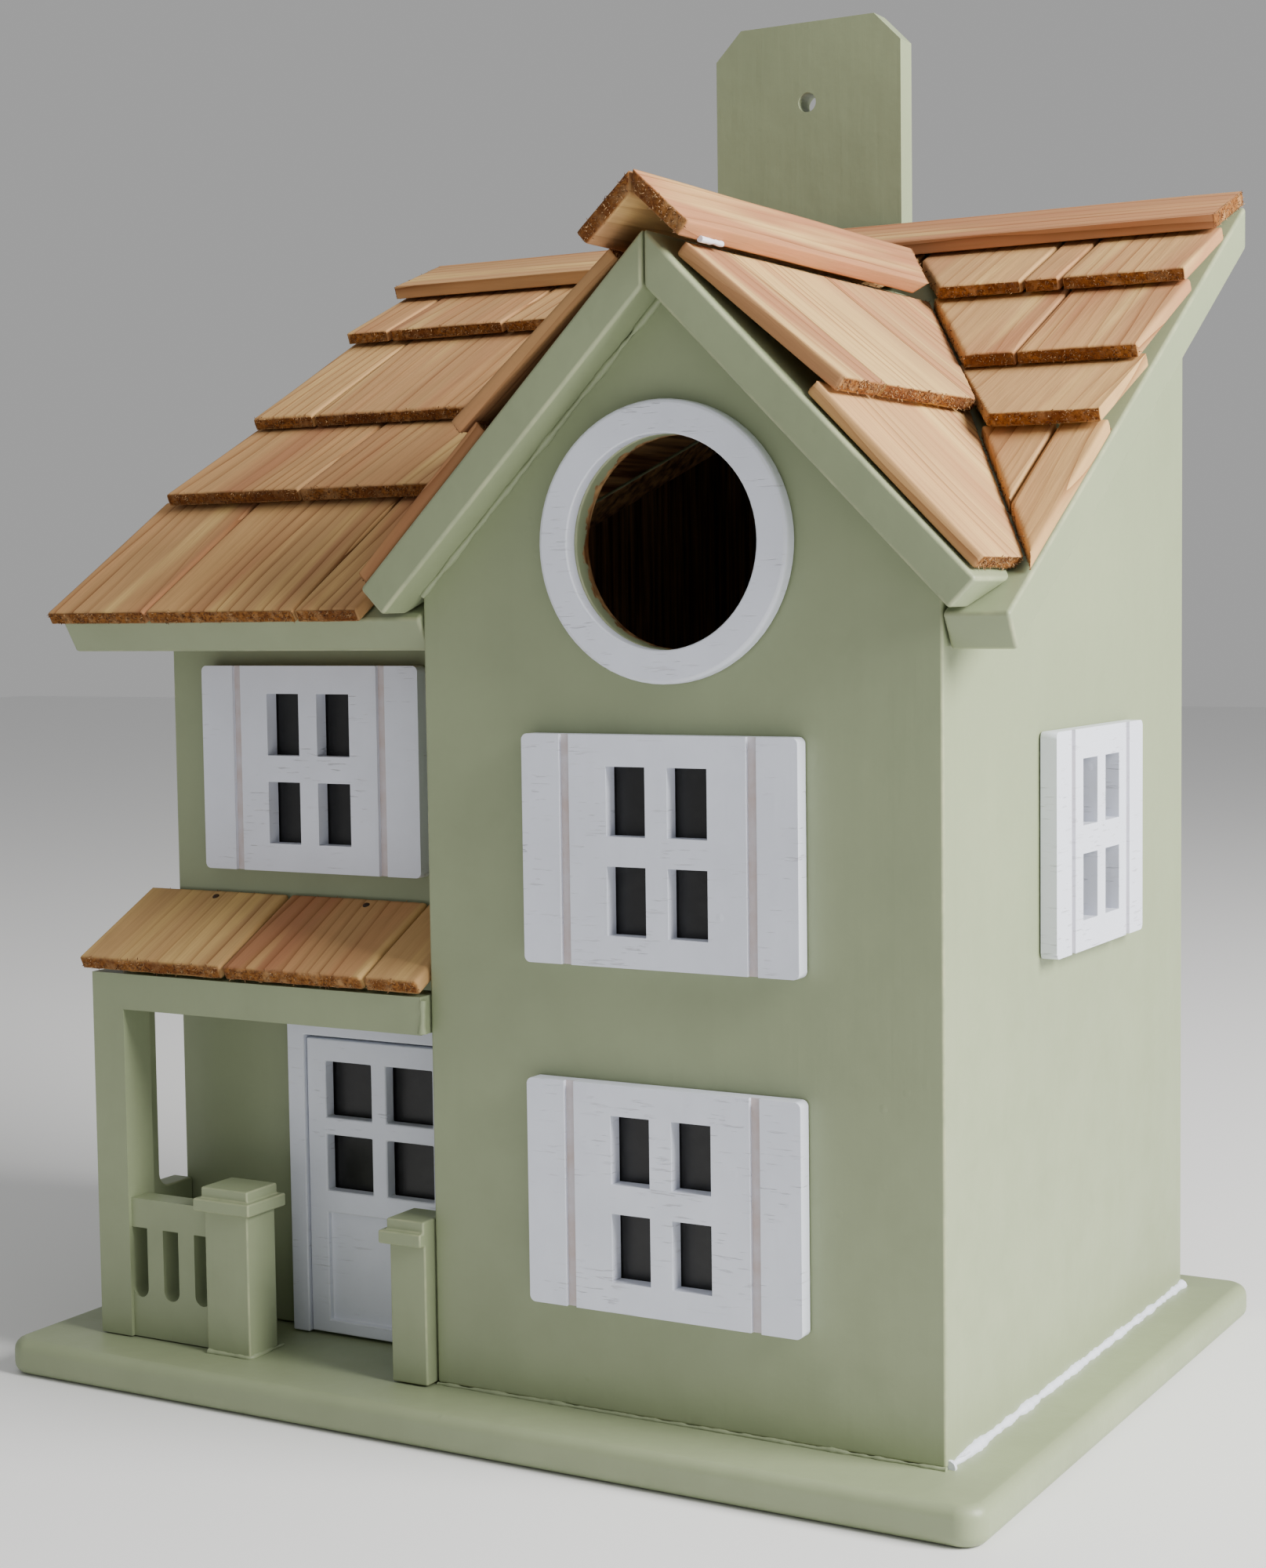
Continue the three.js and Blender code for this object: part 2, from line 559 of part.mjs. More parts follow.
function entryRing() {
  const back = -GAP;
  const front = back - ENTRY.ringThick;
  const soft = 0.5;
  return turnedY([[ENTRY.radius, front], [ENTRY.ringRadius - soft, front], [ENTRY.ringRadius, front + soft],
    [ENTRY.ringRadius, back], [ENTRY.radius, back], [ENTRY.radius, front]], [gableX, 0, ENTRY.centreZ], 72);
}
addPiece('entry_ring', entryRing(), COLOUR.white, { roughness: 0.45 });

// ---------------------------------------------------------------- windows

// A plate in the XZ plane with its lower left front corner at the origin and its front towards -Y.
function windowPlate(width, depth = WINDOW.thick) {
  const outline = roundedRect([0, width], [0, WINDOW.height], WINDOW.cornerRound);
  let plate = prismY(outline, [0, depth]);
  for (const x of [WINDOW.shutter, width - WINDOW.shutter]) {
    const groove = [x - WINDOW.groove / 2, x + WINDOW.groove / 2];
    plate = plate.subtract(block(groove, [-1, WINDOW.grooveDepth], [-1, WINDOW.height + 1]));
  }
  for (const i of [-1, 1]) {
    for (const j of [-1, 1]) {
      const x = width / 2 + (i * (WINDOW.barX + WINDOW.paneWidth)) / 2;
      const z = WINDOW.height / 2 + (j * (WINDOW.barZ + WINDOW.paneHeight)) / 2;
      const halfX = WINDOW.paneWidth / 2;
      const halfZ = WINDOW.paneHeight / 2;
      plate = plate.subtract(block([x - halfX, x + halfX], [-1, depth + 1], [z - halfZ, z + halfZ]));
    }
  }
  return plate;
}

function addWindow(name, width, position, turn = 0) {
  const mesh = addPiece(name, windowPlate(width), COLOUR.white, { roughness: 0.5 });
  mesh.position.set(...position);
  mesh.rotation.z = turn;
}

const plateFront = -GAP - WINDOW.thick;
const frontWindowX = towerLeft + FRONT_WINDOWS.left;
addWindow('tower_window_upper', WINDOW.width, [frontWindowX, plateFront, FRONT_WINDOWS.upperZ]);
addWindow('tower_window_lower', WINDOW.width, [frontWindowX, plateFront, FRONT_WINDOWS.lowerZ]);
addWindow('wing_window', WING_WINDOW.width,
  [houseLeft + WING_WINDOW.left, WING.setback + plateFront, WING_WINDOW.z]);
addWindow('side_window', SIDE_WINDOW.width, [-plateFront, SIDE_WINDOW.frontY, SIDE_WINDOW.z], Math.PI / 2);

// ---------------------------------------------------------------- porch door

const wingFace = WING.setback - GAP;
const leafLeft = houseLeft + DOOR.left + DOOR.frameWidth + GAP;
const leafRight = leafLeft + DOOR.leafWidth;

function doorFrame() {
  const outer = [houseLeft + DOOR.left, leafRight + GAP + DOOR.frameWidth];
  const top = GAP + DOOR.height;
  const opening = block([leafLeft - GAP, leafRight + GAP], [-HIGH, HIGH], [-1, top - DOOR.frameWidth]);
  return block(outer, [wingFace - DOOR.thick, wingFace], [GAP, top]).subtract(opening);
}
addPiece('door_frame', doorFrame(), COLOUR.white, { roughness: 0.5 });

function doorLeaf() {
  const top = DOOR.height - DOOR.frameWidth - GAP;
  const ys = [wingFace - DOOR.leafThick, wingFace];
  let leaf = block([leafLeft, leafRight], ys, [2 * GAP, top]);
  const middle = (leafLeft + leafRight) / 2;
  const paneHalf = DOOR.leafWidth / 2 - DOOR.stile - DOOR.bar / 2;
  const rows = [0, 1].map((row) => top - DOOR.stile - row * (DOOR.paneHeight + DOOR.bar));
  for (const paneTop of rows) {
    for (const i of [-1, 1]) {
      const centre = middle + i * (DOOR.bar / 2 + paneHalf / 2);
      const xs = [centre - paneHalf / 2, centre + paneHalf / 2];
      leaf = leaf.subtract(block(xs, [-HIGH, HIGH], [paneTop - DOOR.paneHeight, paneTop]));
    }
  }
  const panelTop = rows[1] - DOOR.paneHeight - DOOR.stile;
  const panel = block([leafLeft + DOOR.stile, leafRight - DOOR.stile], [-HIGH, ys[0] + DOOR.panelDepth],
    [2 * GAP + DOOR.stile * 0.6, panelTop]);
  return leaf.subtract(panel);
}
addPiece('door_leaf', doorLeaf(), COLOUR.white, { roughness: 0.5 });

// ---------------------------------------------------------------- porch

const porchLeft = houseLeft - PORCH.sideOut;
const porchFront = -PORCH.front;
const postX = [porchLeft, porchLeft + PORCH.postWidth];
const postY = [porchFront, porchFront + PORCH.postDepth];
const porchRight = towerLeft - GAP;
const newelRight = houseLeft + NEWEL.fromCorner;
const newelX = [newelRight - NEWEL.width, newelRight];

// Corner post, beam and balustrade, cut from one board.
function porchFrontFrame() {
  const post = block(postX, postY, [GAP, PORCH.top]);
  const beam = block([postX[0], porchRight], postY, [PORCH.beamZ, PORCH.top]);
  const panelX = [postX[1] - 1, newelX[0] - GAP];
  const panelY = [porchFront + 0.8, porchFront + 0.8 + PORCH.panelThick];
  let panel = block(panelX, panelY, [GAP, PORCH.railTop]);
  const slotTop = PORCH.railTop - PORCH.railHeight;
  const clearWidth = panelX[1] - postX[1];
  const baluster = (clearWidth - 3 * PORCH.slotWidth) / 2;
  for (const i of [0, 1, 2]) {
    const x0 = postX[1] + i * (PORCH.slotWidth + baluster);
    const r = PORCH.slotWidth / 2 - 0.01;
    const slot = roundedRect([x0, x0 + PORCH.slotWidth], [PORCH.bottomRail, slotTop + r], r);
    const keepSquare = block([x0 - 1, x0 + PORCH.slotWidth + 1], [-HIGH, HIGH], [-1, slotTop]);
    panel = panel.subtract(prismY(slot, [-20, 20]).intersect(keepSquare));
  }
  return post.add(beam).add(panel);
}
addPiece('porch_front_frame', porchFrontFrame(), COLOUR.green);

const porchPitch = Math.atan((PORCH_ROOF.wallZ - PORCH_ROOF.frontZ) / (WING.setback - PORCH_ROOF.frontY));
const porchUnderAt = (y) => PORCH_ROOF.frontZ + (y - PORCH_ROOF.frontY) * Math.tan(porchPitch)
  - PORCH_ROOF.thick / Math.cos(porchPitch) - GAP;

// Infill behind the corner post: closed below the sill, open above it, and cut to the roof's slope.
function porchSideFrame() {
  const ys = [postY[1] + GAP, wingFace];
  const outside = porchLeft + PORCH.sideInset;
  const xs = [outside, outside + PORCH.sideThick];
  const outline = [[ys[0], GAP], [ys[1], GAP], [ys[1], porchUnderAt(ys[1])], [ys[0], porchUnderAt(ys[0])]];
  const window = roundedRect([ys[0] + PORCH.sideStile, ys[1] + 8], [PORCH.sideSill, PORCH.beamZ], 3);
  return prismX(outline, xs).subtract(prismX(window, [xs[0] - 5, xs[1] + 5]));
}
addPiece('porch_side_frame', porchSideFrame(), COLOUR.green);

// Square post with a two-step cap.
function newel(xs, ys, height, capRight) {
  const o = NEWEL.capOverhang;
  const lowerTop = height + NEWEL.capLower;
  const right = capRight ? o : 0;
  const cap = block([xs[0] - o, xs[1] + right], [ys[0] - o, ys[1] + o], [height, lowerTop]);
  const upper = block([xs[0] - o / 4, xs[1] + right / 4], [ys[0] - o / 4, ys[1] + o / 4],
    [lowerTop - 0.5, lowerTop + NEWEL.capUpper]);
  return block(xs, ys, [GAP, height + 0.5]).add(cap).add(upper);
}
const newelFront = porchFront - NEWEL.proud;
addPiece('newel_post',
  newel(newelX, [newelFront, newelFront + NEWEL.depth], NEWEL.height, true), COLOUR.green);
addPiece('half_newel_post',
  newel([porchRight - HALF_NEWEL.width, porchRight], [porchFront, porchFront + HALF_NEWEL.depth],
    HALF_NEWEL.height, false), COLOUR.green);

function addPorchRoof() {
  const left = porchLeft - PORCH_ROOF.overhang;
  const width = porchRight - left;
  const length = (wingFace - PORCH_ROOF.frontY) / Math.cos(porchPitch);
  let x = left;
  ['left', 'middle', 'right'].forEach((place, i) => {
    const end = x + width * PORCH_ROOF.widths[i];
    const board = new THREE.Matrix4().makeRotationX(porchPitch)
      .setPosition(0, PORCH_ROOF.frontY, PORCH_ROOF.frontZ);
    const seam = i < 2 ? SHINGLE.seam : 0;
    const piece = inFrame(board, [x, end - seam], [0, length + 20], [-PORCH_ROOF.thick, 0])
      .intersect(block([-HIGH, HIGH], [-HIGH, wingFace], [-HIGH, HIGH]));
    addPiece(`porch_roof_shingle_${place}`, piece, CEDARS[i]);
    x = end;
  });
}
addPorchRoof();

export default birdhouse;
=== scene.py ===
import json
import math

import bmesh
import bpy
import numpy as np
from mathutils import Matrix, Vector, noise

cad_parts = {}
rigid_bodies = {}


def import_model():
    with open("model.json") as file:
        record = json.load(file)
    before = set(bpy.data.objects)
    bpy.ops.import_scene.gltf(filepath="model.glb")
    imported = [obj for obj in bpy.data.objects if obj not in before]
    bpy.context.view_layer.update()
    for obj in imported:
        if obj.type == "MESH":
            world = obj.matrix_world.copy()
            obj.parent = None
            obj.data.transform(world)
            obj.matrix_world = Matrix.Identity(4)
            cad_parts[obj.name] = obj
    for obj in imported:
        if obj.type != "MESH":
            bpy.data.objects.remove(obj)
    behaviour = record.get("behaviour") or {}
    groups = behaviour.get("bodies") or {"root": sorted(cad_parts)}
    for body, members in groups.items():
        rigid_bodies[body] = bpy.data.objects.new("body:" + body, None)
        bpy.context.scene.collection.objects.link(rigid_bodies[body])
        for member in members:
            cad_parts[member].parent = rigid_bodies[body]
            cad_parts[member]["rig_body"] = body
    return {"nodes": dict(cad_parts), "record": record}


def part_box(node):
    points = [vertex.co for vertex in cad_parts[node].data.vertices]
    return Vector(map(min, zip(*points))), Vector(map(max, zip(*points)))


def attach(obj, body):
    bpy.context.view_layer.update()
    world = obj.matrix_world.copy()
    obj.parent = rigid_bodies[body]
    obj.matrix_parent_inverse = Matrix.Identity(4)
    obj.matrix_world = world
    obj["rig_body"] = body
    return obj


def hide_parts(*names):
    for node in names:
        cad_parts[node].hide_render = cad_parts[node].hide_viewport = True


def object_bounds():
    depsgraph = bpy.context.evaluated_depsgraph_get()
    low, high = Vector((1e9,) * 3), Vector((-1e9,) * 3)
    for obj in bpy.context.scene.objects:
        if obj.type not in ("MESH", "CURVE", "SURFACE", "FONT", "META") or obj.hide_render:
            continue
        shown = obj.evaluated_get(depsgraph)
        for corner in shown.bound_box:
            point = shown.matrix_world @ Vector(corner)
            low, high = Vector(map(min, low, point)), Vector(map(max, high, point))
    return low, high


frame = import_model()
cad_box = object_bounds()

MM = 0.001
NODES = frame["nodes"]
NODE_BODY = {name: ob["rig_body"] for name, ob in NODES.items()}
NODE_SLOT = {s["node"]: s["material_slot"] for s in frame["record"]["subparts"]}
UP = Vector((0, 0, 1))
RIGHT = Vector((1, 0, 0))
BACK = Vector((0, 1, 0))


# ------------------------------------------------------------------ camera, light and floor

CAMERA_PLACE = Vector((258.6, -455.3, 156.5)) * MM
CAMERA_YAW, CAMERA_PITCH, CAMERA_ROLL = (math.radians(a) for a in (29.74, -4.13, -0.77))
CAMERA_LENS = 57.8
CAMERA_NEAR = 0.02

ROOM_LIGHT = 0.39
FLOOR_HALF = 3
FLOOR_PALE = (0.86, 0.86, 0.86, 1)
# name: place, target, diameter, power, colour
LAMPS = {
    "key_right": ((0.9, -0.02, 0.6), (0.05, 0, 0.12), 0.55, 26, (1, 0.985, 0.96)),
    "top_soft": ((0.1, -0.5, 1.1), (0, 0, 0.15), 0.9, 1.2, (1, 1, 1)),
}


def add_camera():
    data = bpy.data.cameras.new("camera")
    data.lens = CAMERA_LENS
    data.clip_start = CAMERA_NEAR
    camera = bpy.data.objects.new("camera", data)
    bpy.context.scene.collection.objects.link(camera)
    turn = (Matrix.Rotation(CAMERA_YAW, 4, "Z")
            @ Matrix.Rotation(math.pi / 2 + CAMERA_PITCH, 4, "X")
            @ Matrix.Rotation(CAMERA_ROLL, 4, "Z"))
    camera.matrix_world = Matrix.Translation(CAMERA_PLACE) @ turn
    bpy.context.scene.camera = camera


def add_area_light(name, place, target, size, power, colour):
    data = bpy.data.lights.new(name, "AREA")
    data.shape = "DISK"
    data.size = size
    data.energy = power
    data.color = colour
    lamp = bpy.data.objects.new(name, data)
    bpy.context.scene.collection.objects.link(lamp)
    aim = (Vector(target) - Vector(place)).to_track_quat("-Z", "Y")
    lamp.matrix_world = Matrix.Translation(place) @ aim.to_matrix().to_4x4()


def add_stage():
    world = bpy.data.worlds.new("studio")
    bpy.context.scene.world = world
    world.use_nodes = True
    background = world.node_tree.nodes["Background"]
    background.inputs["Color"].default_value = (1, 1, 1, 1)
    background.inputs["Strength"].default_value = ROOM_LIGHT
    for name, lamp in LAMPS.items():
        add_area_light(name, *lamp)
    bm = bmesh.new()
    bmesh.ops.create_grid(bm, x_segments=1, y_segments=1, size=FLOOR_HALF)
    floor = link_mesh("floor", bm)
    bare = Material("floor_paint")
    bare.surface(**{"Base Color": FLOOR_PALE, "Roughness": 0.6})
    floor.data.materials.append(bare.material)


# ------------------------------------------------------------------ small helpers

def link_mesh(name, bm):
    mesh = bpy.data.meshes.new(name)
    bm.to_mesh(mesh)
    bm.free()
    ob = bpy.data.objects.new(name, mesh)
    bpy.context.scene.collection.objects.link(ob)
    return ob


def smooth_all(mesh):
    for polygon in mesh.polygons:
        polygon.use_smooth = True


def add_node(tree, kind, links, out, settings):
    """Adds a node, sets or links its inputs, and returns one of its output sockets."""
    made = tree.nodes.new(kind)
    for key, value in settings.items():
        setattr(made, key, value)
    for socket, value in dict(links).items():
        if isinstance(value, bpy.types.NodeSocket):
            tree.links.new(value, made.inputs[socket])
        else:
            made.inputs[socket].default_value = value
    return made.outputs[out]


class Material:
    """A node material: each call adds a node and returns its output socket."""

    def __init__(self, name):
        self.material = bpy.data.materials.new(name)
        self.material.use_nodes = True
        self.tree = self.material.node_tree
        self.tree.nodes.clear()

    def add(self, kind, links=(), out=0, **settings):
        return add_node(self.tree, "ShaderNode" + kind, links, out, settings)

    def math(self, operation, *values):
        return self.add("Math", dict(enumerate(values)), operation=operation)

    def mix(self, factor, a, b, blend="MIX"):
        a, b = ((*c, 1) if isinstance(c, tuple) else c for c in (a, b))
        return self.add("Mix", {0: factor, 6: a, 7: b}, out=2, data_type="RGBA", blend_type=blend)

    def range(self, value, low, high, to_low=0.0, to_high=1.0):
        return self.add("MapRange", {0: value, 1: low, 2: high, 3: to_low, 4: to_high})

    def scaled(self, vector, scale):
        return self.add("Mapping", {"Vector": vector, "Scale": scale})

    def place(self):
        """The point on the object itself, in metres."""
        return self.add("TexCoord", out=3)

    def noise(self, vector, scale, detail=3.0, roughness=0.5, distortion=0.0):
        return self.add("TexNoise", {"Vector": vector, "Scale": scale, "Detail": detail,
                                     "Roughness": roughness, "Distortion": distortion})

    def attribute(self, name):
        return self.add("Attribute", attribute_name=name, out=2)

    def bump(self, height, distance, strength=1.0, normal=None):
        links = {"Height": height, "Distance": distance, "Strength": strength}
        if normal is not None:
            links["Normal"] = normal
        return self.add("Bump", links)

    def surface(self, **links):
        shader = self.add("BsdfPrincipled", links)
        output = self.tree.nodes.new("ShaderNodeOutputMaterial")
        self.tree.links.new(shader, output.inputs["Surface"])


def srgb(red, green, blue):
    """An 8-bit screen colour as linear light."""
    def linear(c):
        c /= 255
        return c / 12.92 if c <= 0.04045 else ((c + 0.055) / 1.055) ** 2.4
    return tuple(linear(c) for c in (red, green, blue))


def shade(colour, factor):
    return tuple(min(1.0, c * factor) for c in colour)


# ------------------------------------------------------------------ painted wood

SAGE = srgb(143, 153, 120)
WHITE_PAINT = srgb(222, 226, 238)
PRIMER_PINK = srgb(196, 180, 176)
# pale edge colour: partly rubbed wear, partly a painted highlight along the rounded edges
EDGE_WEAR_AND_HIGHLIGHT = srgb(190, 190, 150)
PANE_BLACK = (0.003, 0.003, 0.0035)
PANE_DUST = (0.012, 0.012, 0.012)


def painted_wood(name, colour, along, wear_and_highlight=0.35, streak=0.5, gloss=0.44, bare=False,
                 cracked=False):
    """Brushed paint: strokes run along one axis, and edges are painted a little lighter, partly as
    rubbed wear and partly as a painted highlight.
    """
    m = Material(name)
    place = m.place()
    stretch = [1.0 if axis != along else 0.05 for axis in "xyz"]
    strokes = m.scaled(place, stretch)
    cloud = m.noise(place, 16, 3)
    stain = m.noise(place, 75, 4, 0.6)
    brush = m.noise(strokes, 620, 3, 0.55)
    wide_brush = m.noise(strokes, 150, 2)
    tone = m.mix(m.range(cloud, 0.3, 0.7), shade(colour, 0.93), shade(colour, 1.06))
    tone = m.mix(m.range(stain, 0.42, 0.72, 0, 0.35), tone, shade(colour, 0.86))
    tone = m.mix(m.range(wide_brush, 0.5, 0.75, 0, 0.22 * streak), tone, shade(colour, 1.16))
    # painted highlight on the rounded edges, partly rubbed wear too: they are mixed towards a pale
    # colour in patches
    patches = m.range(m.noise(place, 260, 3), 0.35, 0.65, 0.1, 1)
    rub_and_highlight = m.math("MULTIPLY", m.attribute("edge"), patches)
    tone = m.mix(m.math("MULTIPLY", rub_and_highlight, wear_and_highlight), tone, EDGE_WEAR_AND_HIGHLIGHT)
    grit = m.add("TexVoronoi", {"Vector": place, "Scale": 150.0, "Randomness": 1.0}, feature="F1")
    specks = m.range(grit, 0.0, 0.13, 1, 0)
    sparse = m.range(m.noise(place, 42, 1), 0.6, 0.68)
    height = m.math("MULTIPLY_ADD", brush, streak, m.math("MULTIPLY", m.noise(place, 420, 3), 0.5))
    height = m.math("MULTIPLY_ADD", m.math("MULTIPLY", specks, sparse), 0.9, height)
    if cracked:
        level = m.scaled(place, (0.09, 0.09, 1))
        crack = m.range(m.noise(level, 1900, 2, 0.6), 0.62, 0.7)
        patchy = m.range(m.noise(place, 60, 2), 0.45, 0.6)
        crack = m.math("MULTIPLY", crack, patchy)
        tone = m.mix(m.math("MULTIPLY", crack, 0.22), tone, shade(PRIMER_PINK, 0.5))
        height = m.math("MULTIPLY_ADD", crack, -1.6, height)
    if bare:
        # bare wood inside the house, mixed towards dark brown: partly the wood's own colour, partly
        # painted shade for the dim inside
        raw_wood_and_shade = m.mix(m.range(brush, 0.35, 0.65), shade(SAWN_DARK, 1.1), TAN)
        ragged = m.math("MULTIPLY_ADD", m.noise(place, 330, 4, 0.6), 0.9, -0.45)
        unpainted = m.range(m.math("ADD", m.attribute("bare"), ragged), 0.44, 0.5)
        tone = m.mix(unpainted, tone, raw_wood_and_shade)
    lumps = m.bump(m.noise(place, 60, 2), 0.0007, 0.5)
    normal = m.bump(height, 0.00011, 0.75, lumps)
    rough = m.range(stain, 0.3, 0.7, gloss - 0.06, gloss + 0.1)
    m.surface(**{"Base Color": tone, "Roughness": rough, "Normal": normal})
    return m.material


def black_paint():
    m = Material("black_pane_paint")
    place = m.place()
    dust = m.noise(place, 300, 4)
    tone = m.mix(m.range(dust, 0.5, 0.8, 0, 0.5), PANE_BLACK, PANE_DUST)
    normal = m.bump(m.noise(place, 500, 3), 0.0001, 0.6)
    m.surface(**{"Base Color": tone, "Roughness": 0.35, "Normal": normal})
    return m.material


def primer():
    m = Material("pink_primer")
    place = m.place()
    cover = m.range(m.noise(place, 220, 4), 0.3, 0.7)
    thin = m.mix(cover, shade(WHITE_PAINT, 0.9), PRIMER_PINK)
    tone = m.mix(0.45, thin, PRIMER_PINK)
    normal = m.bump(m.noise(place, 700, 3), 0.0001)
    m.surface(**{"Base Color": tone, "Roughness": 0.7, "Normal": normal})
    return m.material


# ------------------------------------------------------------------ bare wood

TAN = srgb(187, 148, 101)
PINK = srgb(183, 121, 87)
LIGHT = srgb(210, 176, 114)
LINE = srgb(116, 70, 38)
SAWN = srgb(150, 98, 46)
SAWN_DARK = srgb(84, 44, 18)

ZINC = (0.62, 0.63, 0.65)
ZINC_DULL = (0.36, 0.35, 0.34)
NAIL_BLACK = (0.02, 0.016, 0.014)
NAIL_RUST = (0.1, 0.05, 0.025)


def cedar(name):
    """Flat-sawn cedar on the board's own UV map: U across the grain and V along it, in metres."""
    m = Material(name)
    uv = m.add("UVMap", uv_map="grain")
    tone = m.attribute("tone")
    bright = m.attribute("bright")
    end = m.attribute("sawn")
    place = m.place()
    long_grain = m.scaled(uv, (1, 0.08, 1))
    drift = m.noise(m.scaled(uv, (1, 0.25, 1)), 22, 2)
    across = m.add("SeparateXYZ", {0: uv})
    bent = m.math("ADD", across, m.math("MULTIPLY", drift, 0.02))
    fine_drift = m.math("MULTIPLY", m.noise(long_grain, 260, 2), 0.0012)
    rings = m.math("FRACT", m.math("MULTIPLY", m.math("ADD", bent, fine_drift), 300))
    late = m.math("POWER", rings, 5)
    spacing = m.range(m.noise(m.scaled(uv, (1, 0.06, 1)), 80, 1), 0.34, 0.58)
    line = m.math("MULTIPLY", late, spacing)
    fibres = m.noise(m.scaled(uv, (1, 0.035, 1)), 1500, 3, 0.6)
    bands = m.noise(m.scaled(uv, (1, 0.05, 1)), 85, 2, 0.5)
    body = m.mix(tone, LIGHT, PINK)
    body = m.mix(m.range(bands, 0.4, 0.6, 0, 0.8), body, TAN)
    heartwood = m.range(m.noise(long_grain, 60, 2), 0.52, 0.66, 0, 0.75)
    body = m.mix(heartwood, body, shade(PINK, 0.85))
    sapwood = m.range(m.noise(long_grain, 95, 2), 0.55, 0.66, 0, 0.8)
    body = m.mix(sapwood, body, shade(LIGHT, 1.12))
    body = m.mix(m.range(fibres, 0.3, 0.75, 0, 0.35), body, shade(TAN, 0.62))
    body = m.mix(m.math("MULTIPLY", line, 0.85), body, LINE)
    weather = m.noise(m.scaled(uv, (1, 0.5, 1)), 130, 3)
    body = m.mix(m.range(weather, 0.5, 0.75, 0, 0.3), body, shade(TAN, 0.7))
    pores = m.noise(place, 1300, 4, 0.7)
    coarse = m.noise(place, 330, 3, 0.6)
    zones = m.noise(m.scaled(uv, (1, 0.05, 1)), 60, 2)
    raw_end = m.mix(m.range(pores, 0.36, 0.6), SAWN_DARK, SAWN)
    raw_end = m.mix(m.range(coarse, 0.5, 0.68, 0, 0.6), raw_end, TAN)
    raw_end = m.mix(m.range(zones, 0.48, 0.58, 0, 0.6), raw_end, shade(SAWN_DARK, 1.3))
    colour = m.mix(end, body, raw_end)
    colour = m.mix(1.0, colour, m.add("CombineXYZ", {0: bright, 1: bright, 2: bright}), "MULTIPLY")
    height = m.math("MULTIPLY_ADD", line, -0.5, m.math("MULTIPLY", fibres, 0.8))
    saw = m.math("MULTIPLY", end, m.math("MULTIPLY", pores, 3.2))
    normal = m.bump(m.math("ADD", height, saw), 0.00016, 0.85)
    rough = m.range(fibres, 0.3, 0.7, 0.82, 0.96)
    m.surface(**{"Base Color": colour, "Roughness": rough, "Specular IOR Level": 0.2,
                 "Normal": normal})
    return m.material


def fibre_wood():
    m = Material("saw_fibres")
    place = m.place()
    tone = m.mix(m.range(m.noise(place, 900, 2), 0.35, 0.65), SAWN_DARK, shade(TAN, 0.9))
    m.surface(**{"Base Color": tone, "Roughness": 0.85})
    return m.material


def bright_steel():
    m = Material("zinc_steel")
    place = m.place()
    spots = m.noise(place, 900, 4, 0.6)
    tone = m.mix(m.range(spots, 0.35, 0.7), ZINC, ZINC_DULL)
    rough = m.range(spots, 0.3, 0.7, 0.25, 0.5)
    m.surface(**{"Base Color": tone, "Metallic": 1.0, "Roughness": rough,
                 "Normal": m.bump(spots, 0.00005, 0.6)})
    return m.material


def rusty_nail():
    m = Material("rusty_nail")
    place = m.place()
    spots = m.noise(place, 1800, 4, 0.6)
    tone = m.mix(m.range(spots, 0.35, 0.65), NAIL_BLACK, NAIL_RUST)
    rough = m.range(spots, 0.3, 0.7, 0.5, 0.8)
    m.surface(**{"Base Color": tone, "Metallic": 0.5, "Roughness": rough,
                 "Normal": m.bump(spots, 0.00006, 0.8)})
    return m.material


PAINT = {
    "upright": painted_wood("sage_paint_upright", SAGE, "z"),
    "level": painted_wood("sage_paint_level", SAGE, "x"),
    "wall": painted_wood("sage_paint_wall", SAGE, "z", bare=True),
    "depth": painted_wood("sage_paint_deck", SAGE, "y", bare=True),
    "deck": painted_wood("sage_paint_main_deck", SAGE, "x", bare=True),
    # the white paint's edges get a weaker painted highlight and rubbed wear
    "white": painted_wood("white_paint", WHITE_PAINT, "z", wear_and_highlight=0.15, streak=0.35, gloss=0.4,
                          cracked=True),
    "primer": primer(),
    "black": black_paint(),
    "cedar": cedar("cedar"),
    "fibre": fibre_wood(),
    "steel": bright_steel(),
    "rust": rusty_nail(),
}


# ------------------------------------------------------------------ copies of the CAD pieces

SAME_SPOT = 2e-6
FLAT_WITHIN = 0.6
SHARP_FROM = 25
SMOOTH_BELOW = 35

def cad_bmesh(name):
    """A merged copy of a CAD node's mesh, with its flat faces made whole."""
    bm = bmesh.new()
    bm.from_mesh(NODES[name].data)
    bmesh.ops.remove_doubles(bm, verts=bm.verts, dist=SAME_SPOT)
    bmesh.ops.dissolve_limit(bm, angle_limit=math.radians(FLAT_WITHIN), verts=bm.verts,
                             edges=bm.edges)
    return bm


def round_edges(bm, width, segments=3, skip=lambda edge: False):
    """Rounds the sharp edges and marks the middle of each rounding in the 'edge' attribute."""
    crisp = [e for e in bm.edges
             if e.is_manifold and e.calc_face_angle() > math.radians(SHARP_FROM) and not skip(e)]
    made = bmesh.ops.bevel(bm, geom=crisp, offset=width, segments=segments, profile=0.5,
                           affect="EDGES", clamp_overlap=True)
    bevelled = set(made["faces"])
    layer = bm.verts.layers.float.new("edge")
    for vert in bm.verts:
        vert[layer] = float(all(face in bevelled for face in vert.link_faces))


def slice_by(bm, axis, places):
    """Cuts every face at these places along an axis."""
    for place in places:
        geometry = [*bm.verts, *bm.edges, *bm.faces]
        bmesh.ops.bisect_plane(bm, geom=geometry, dist=1e-7, plane_co=axis * place, plane_no=axis)


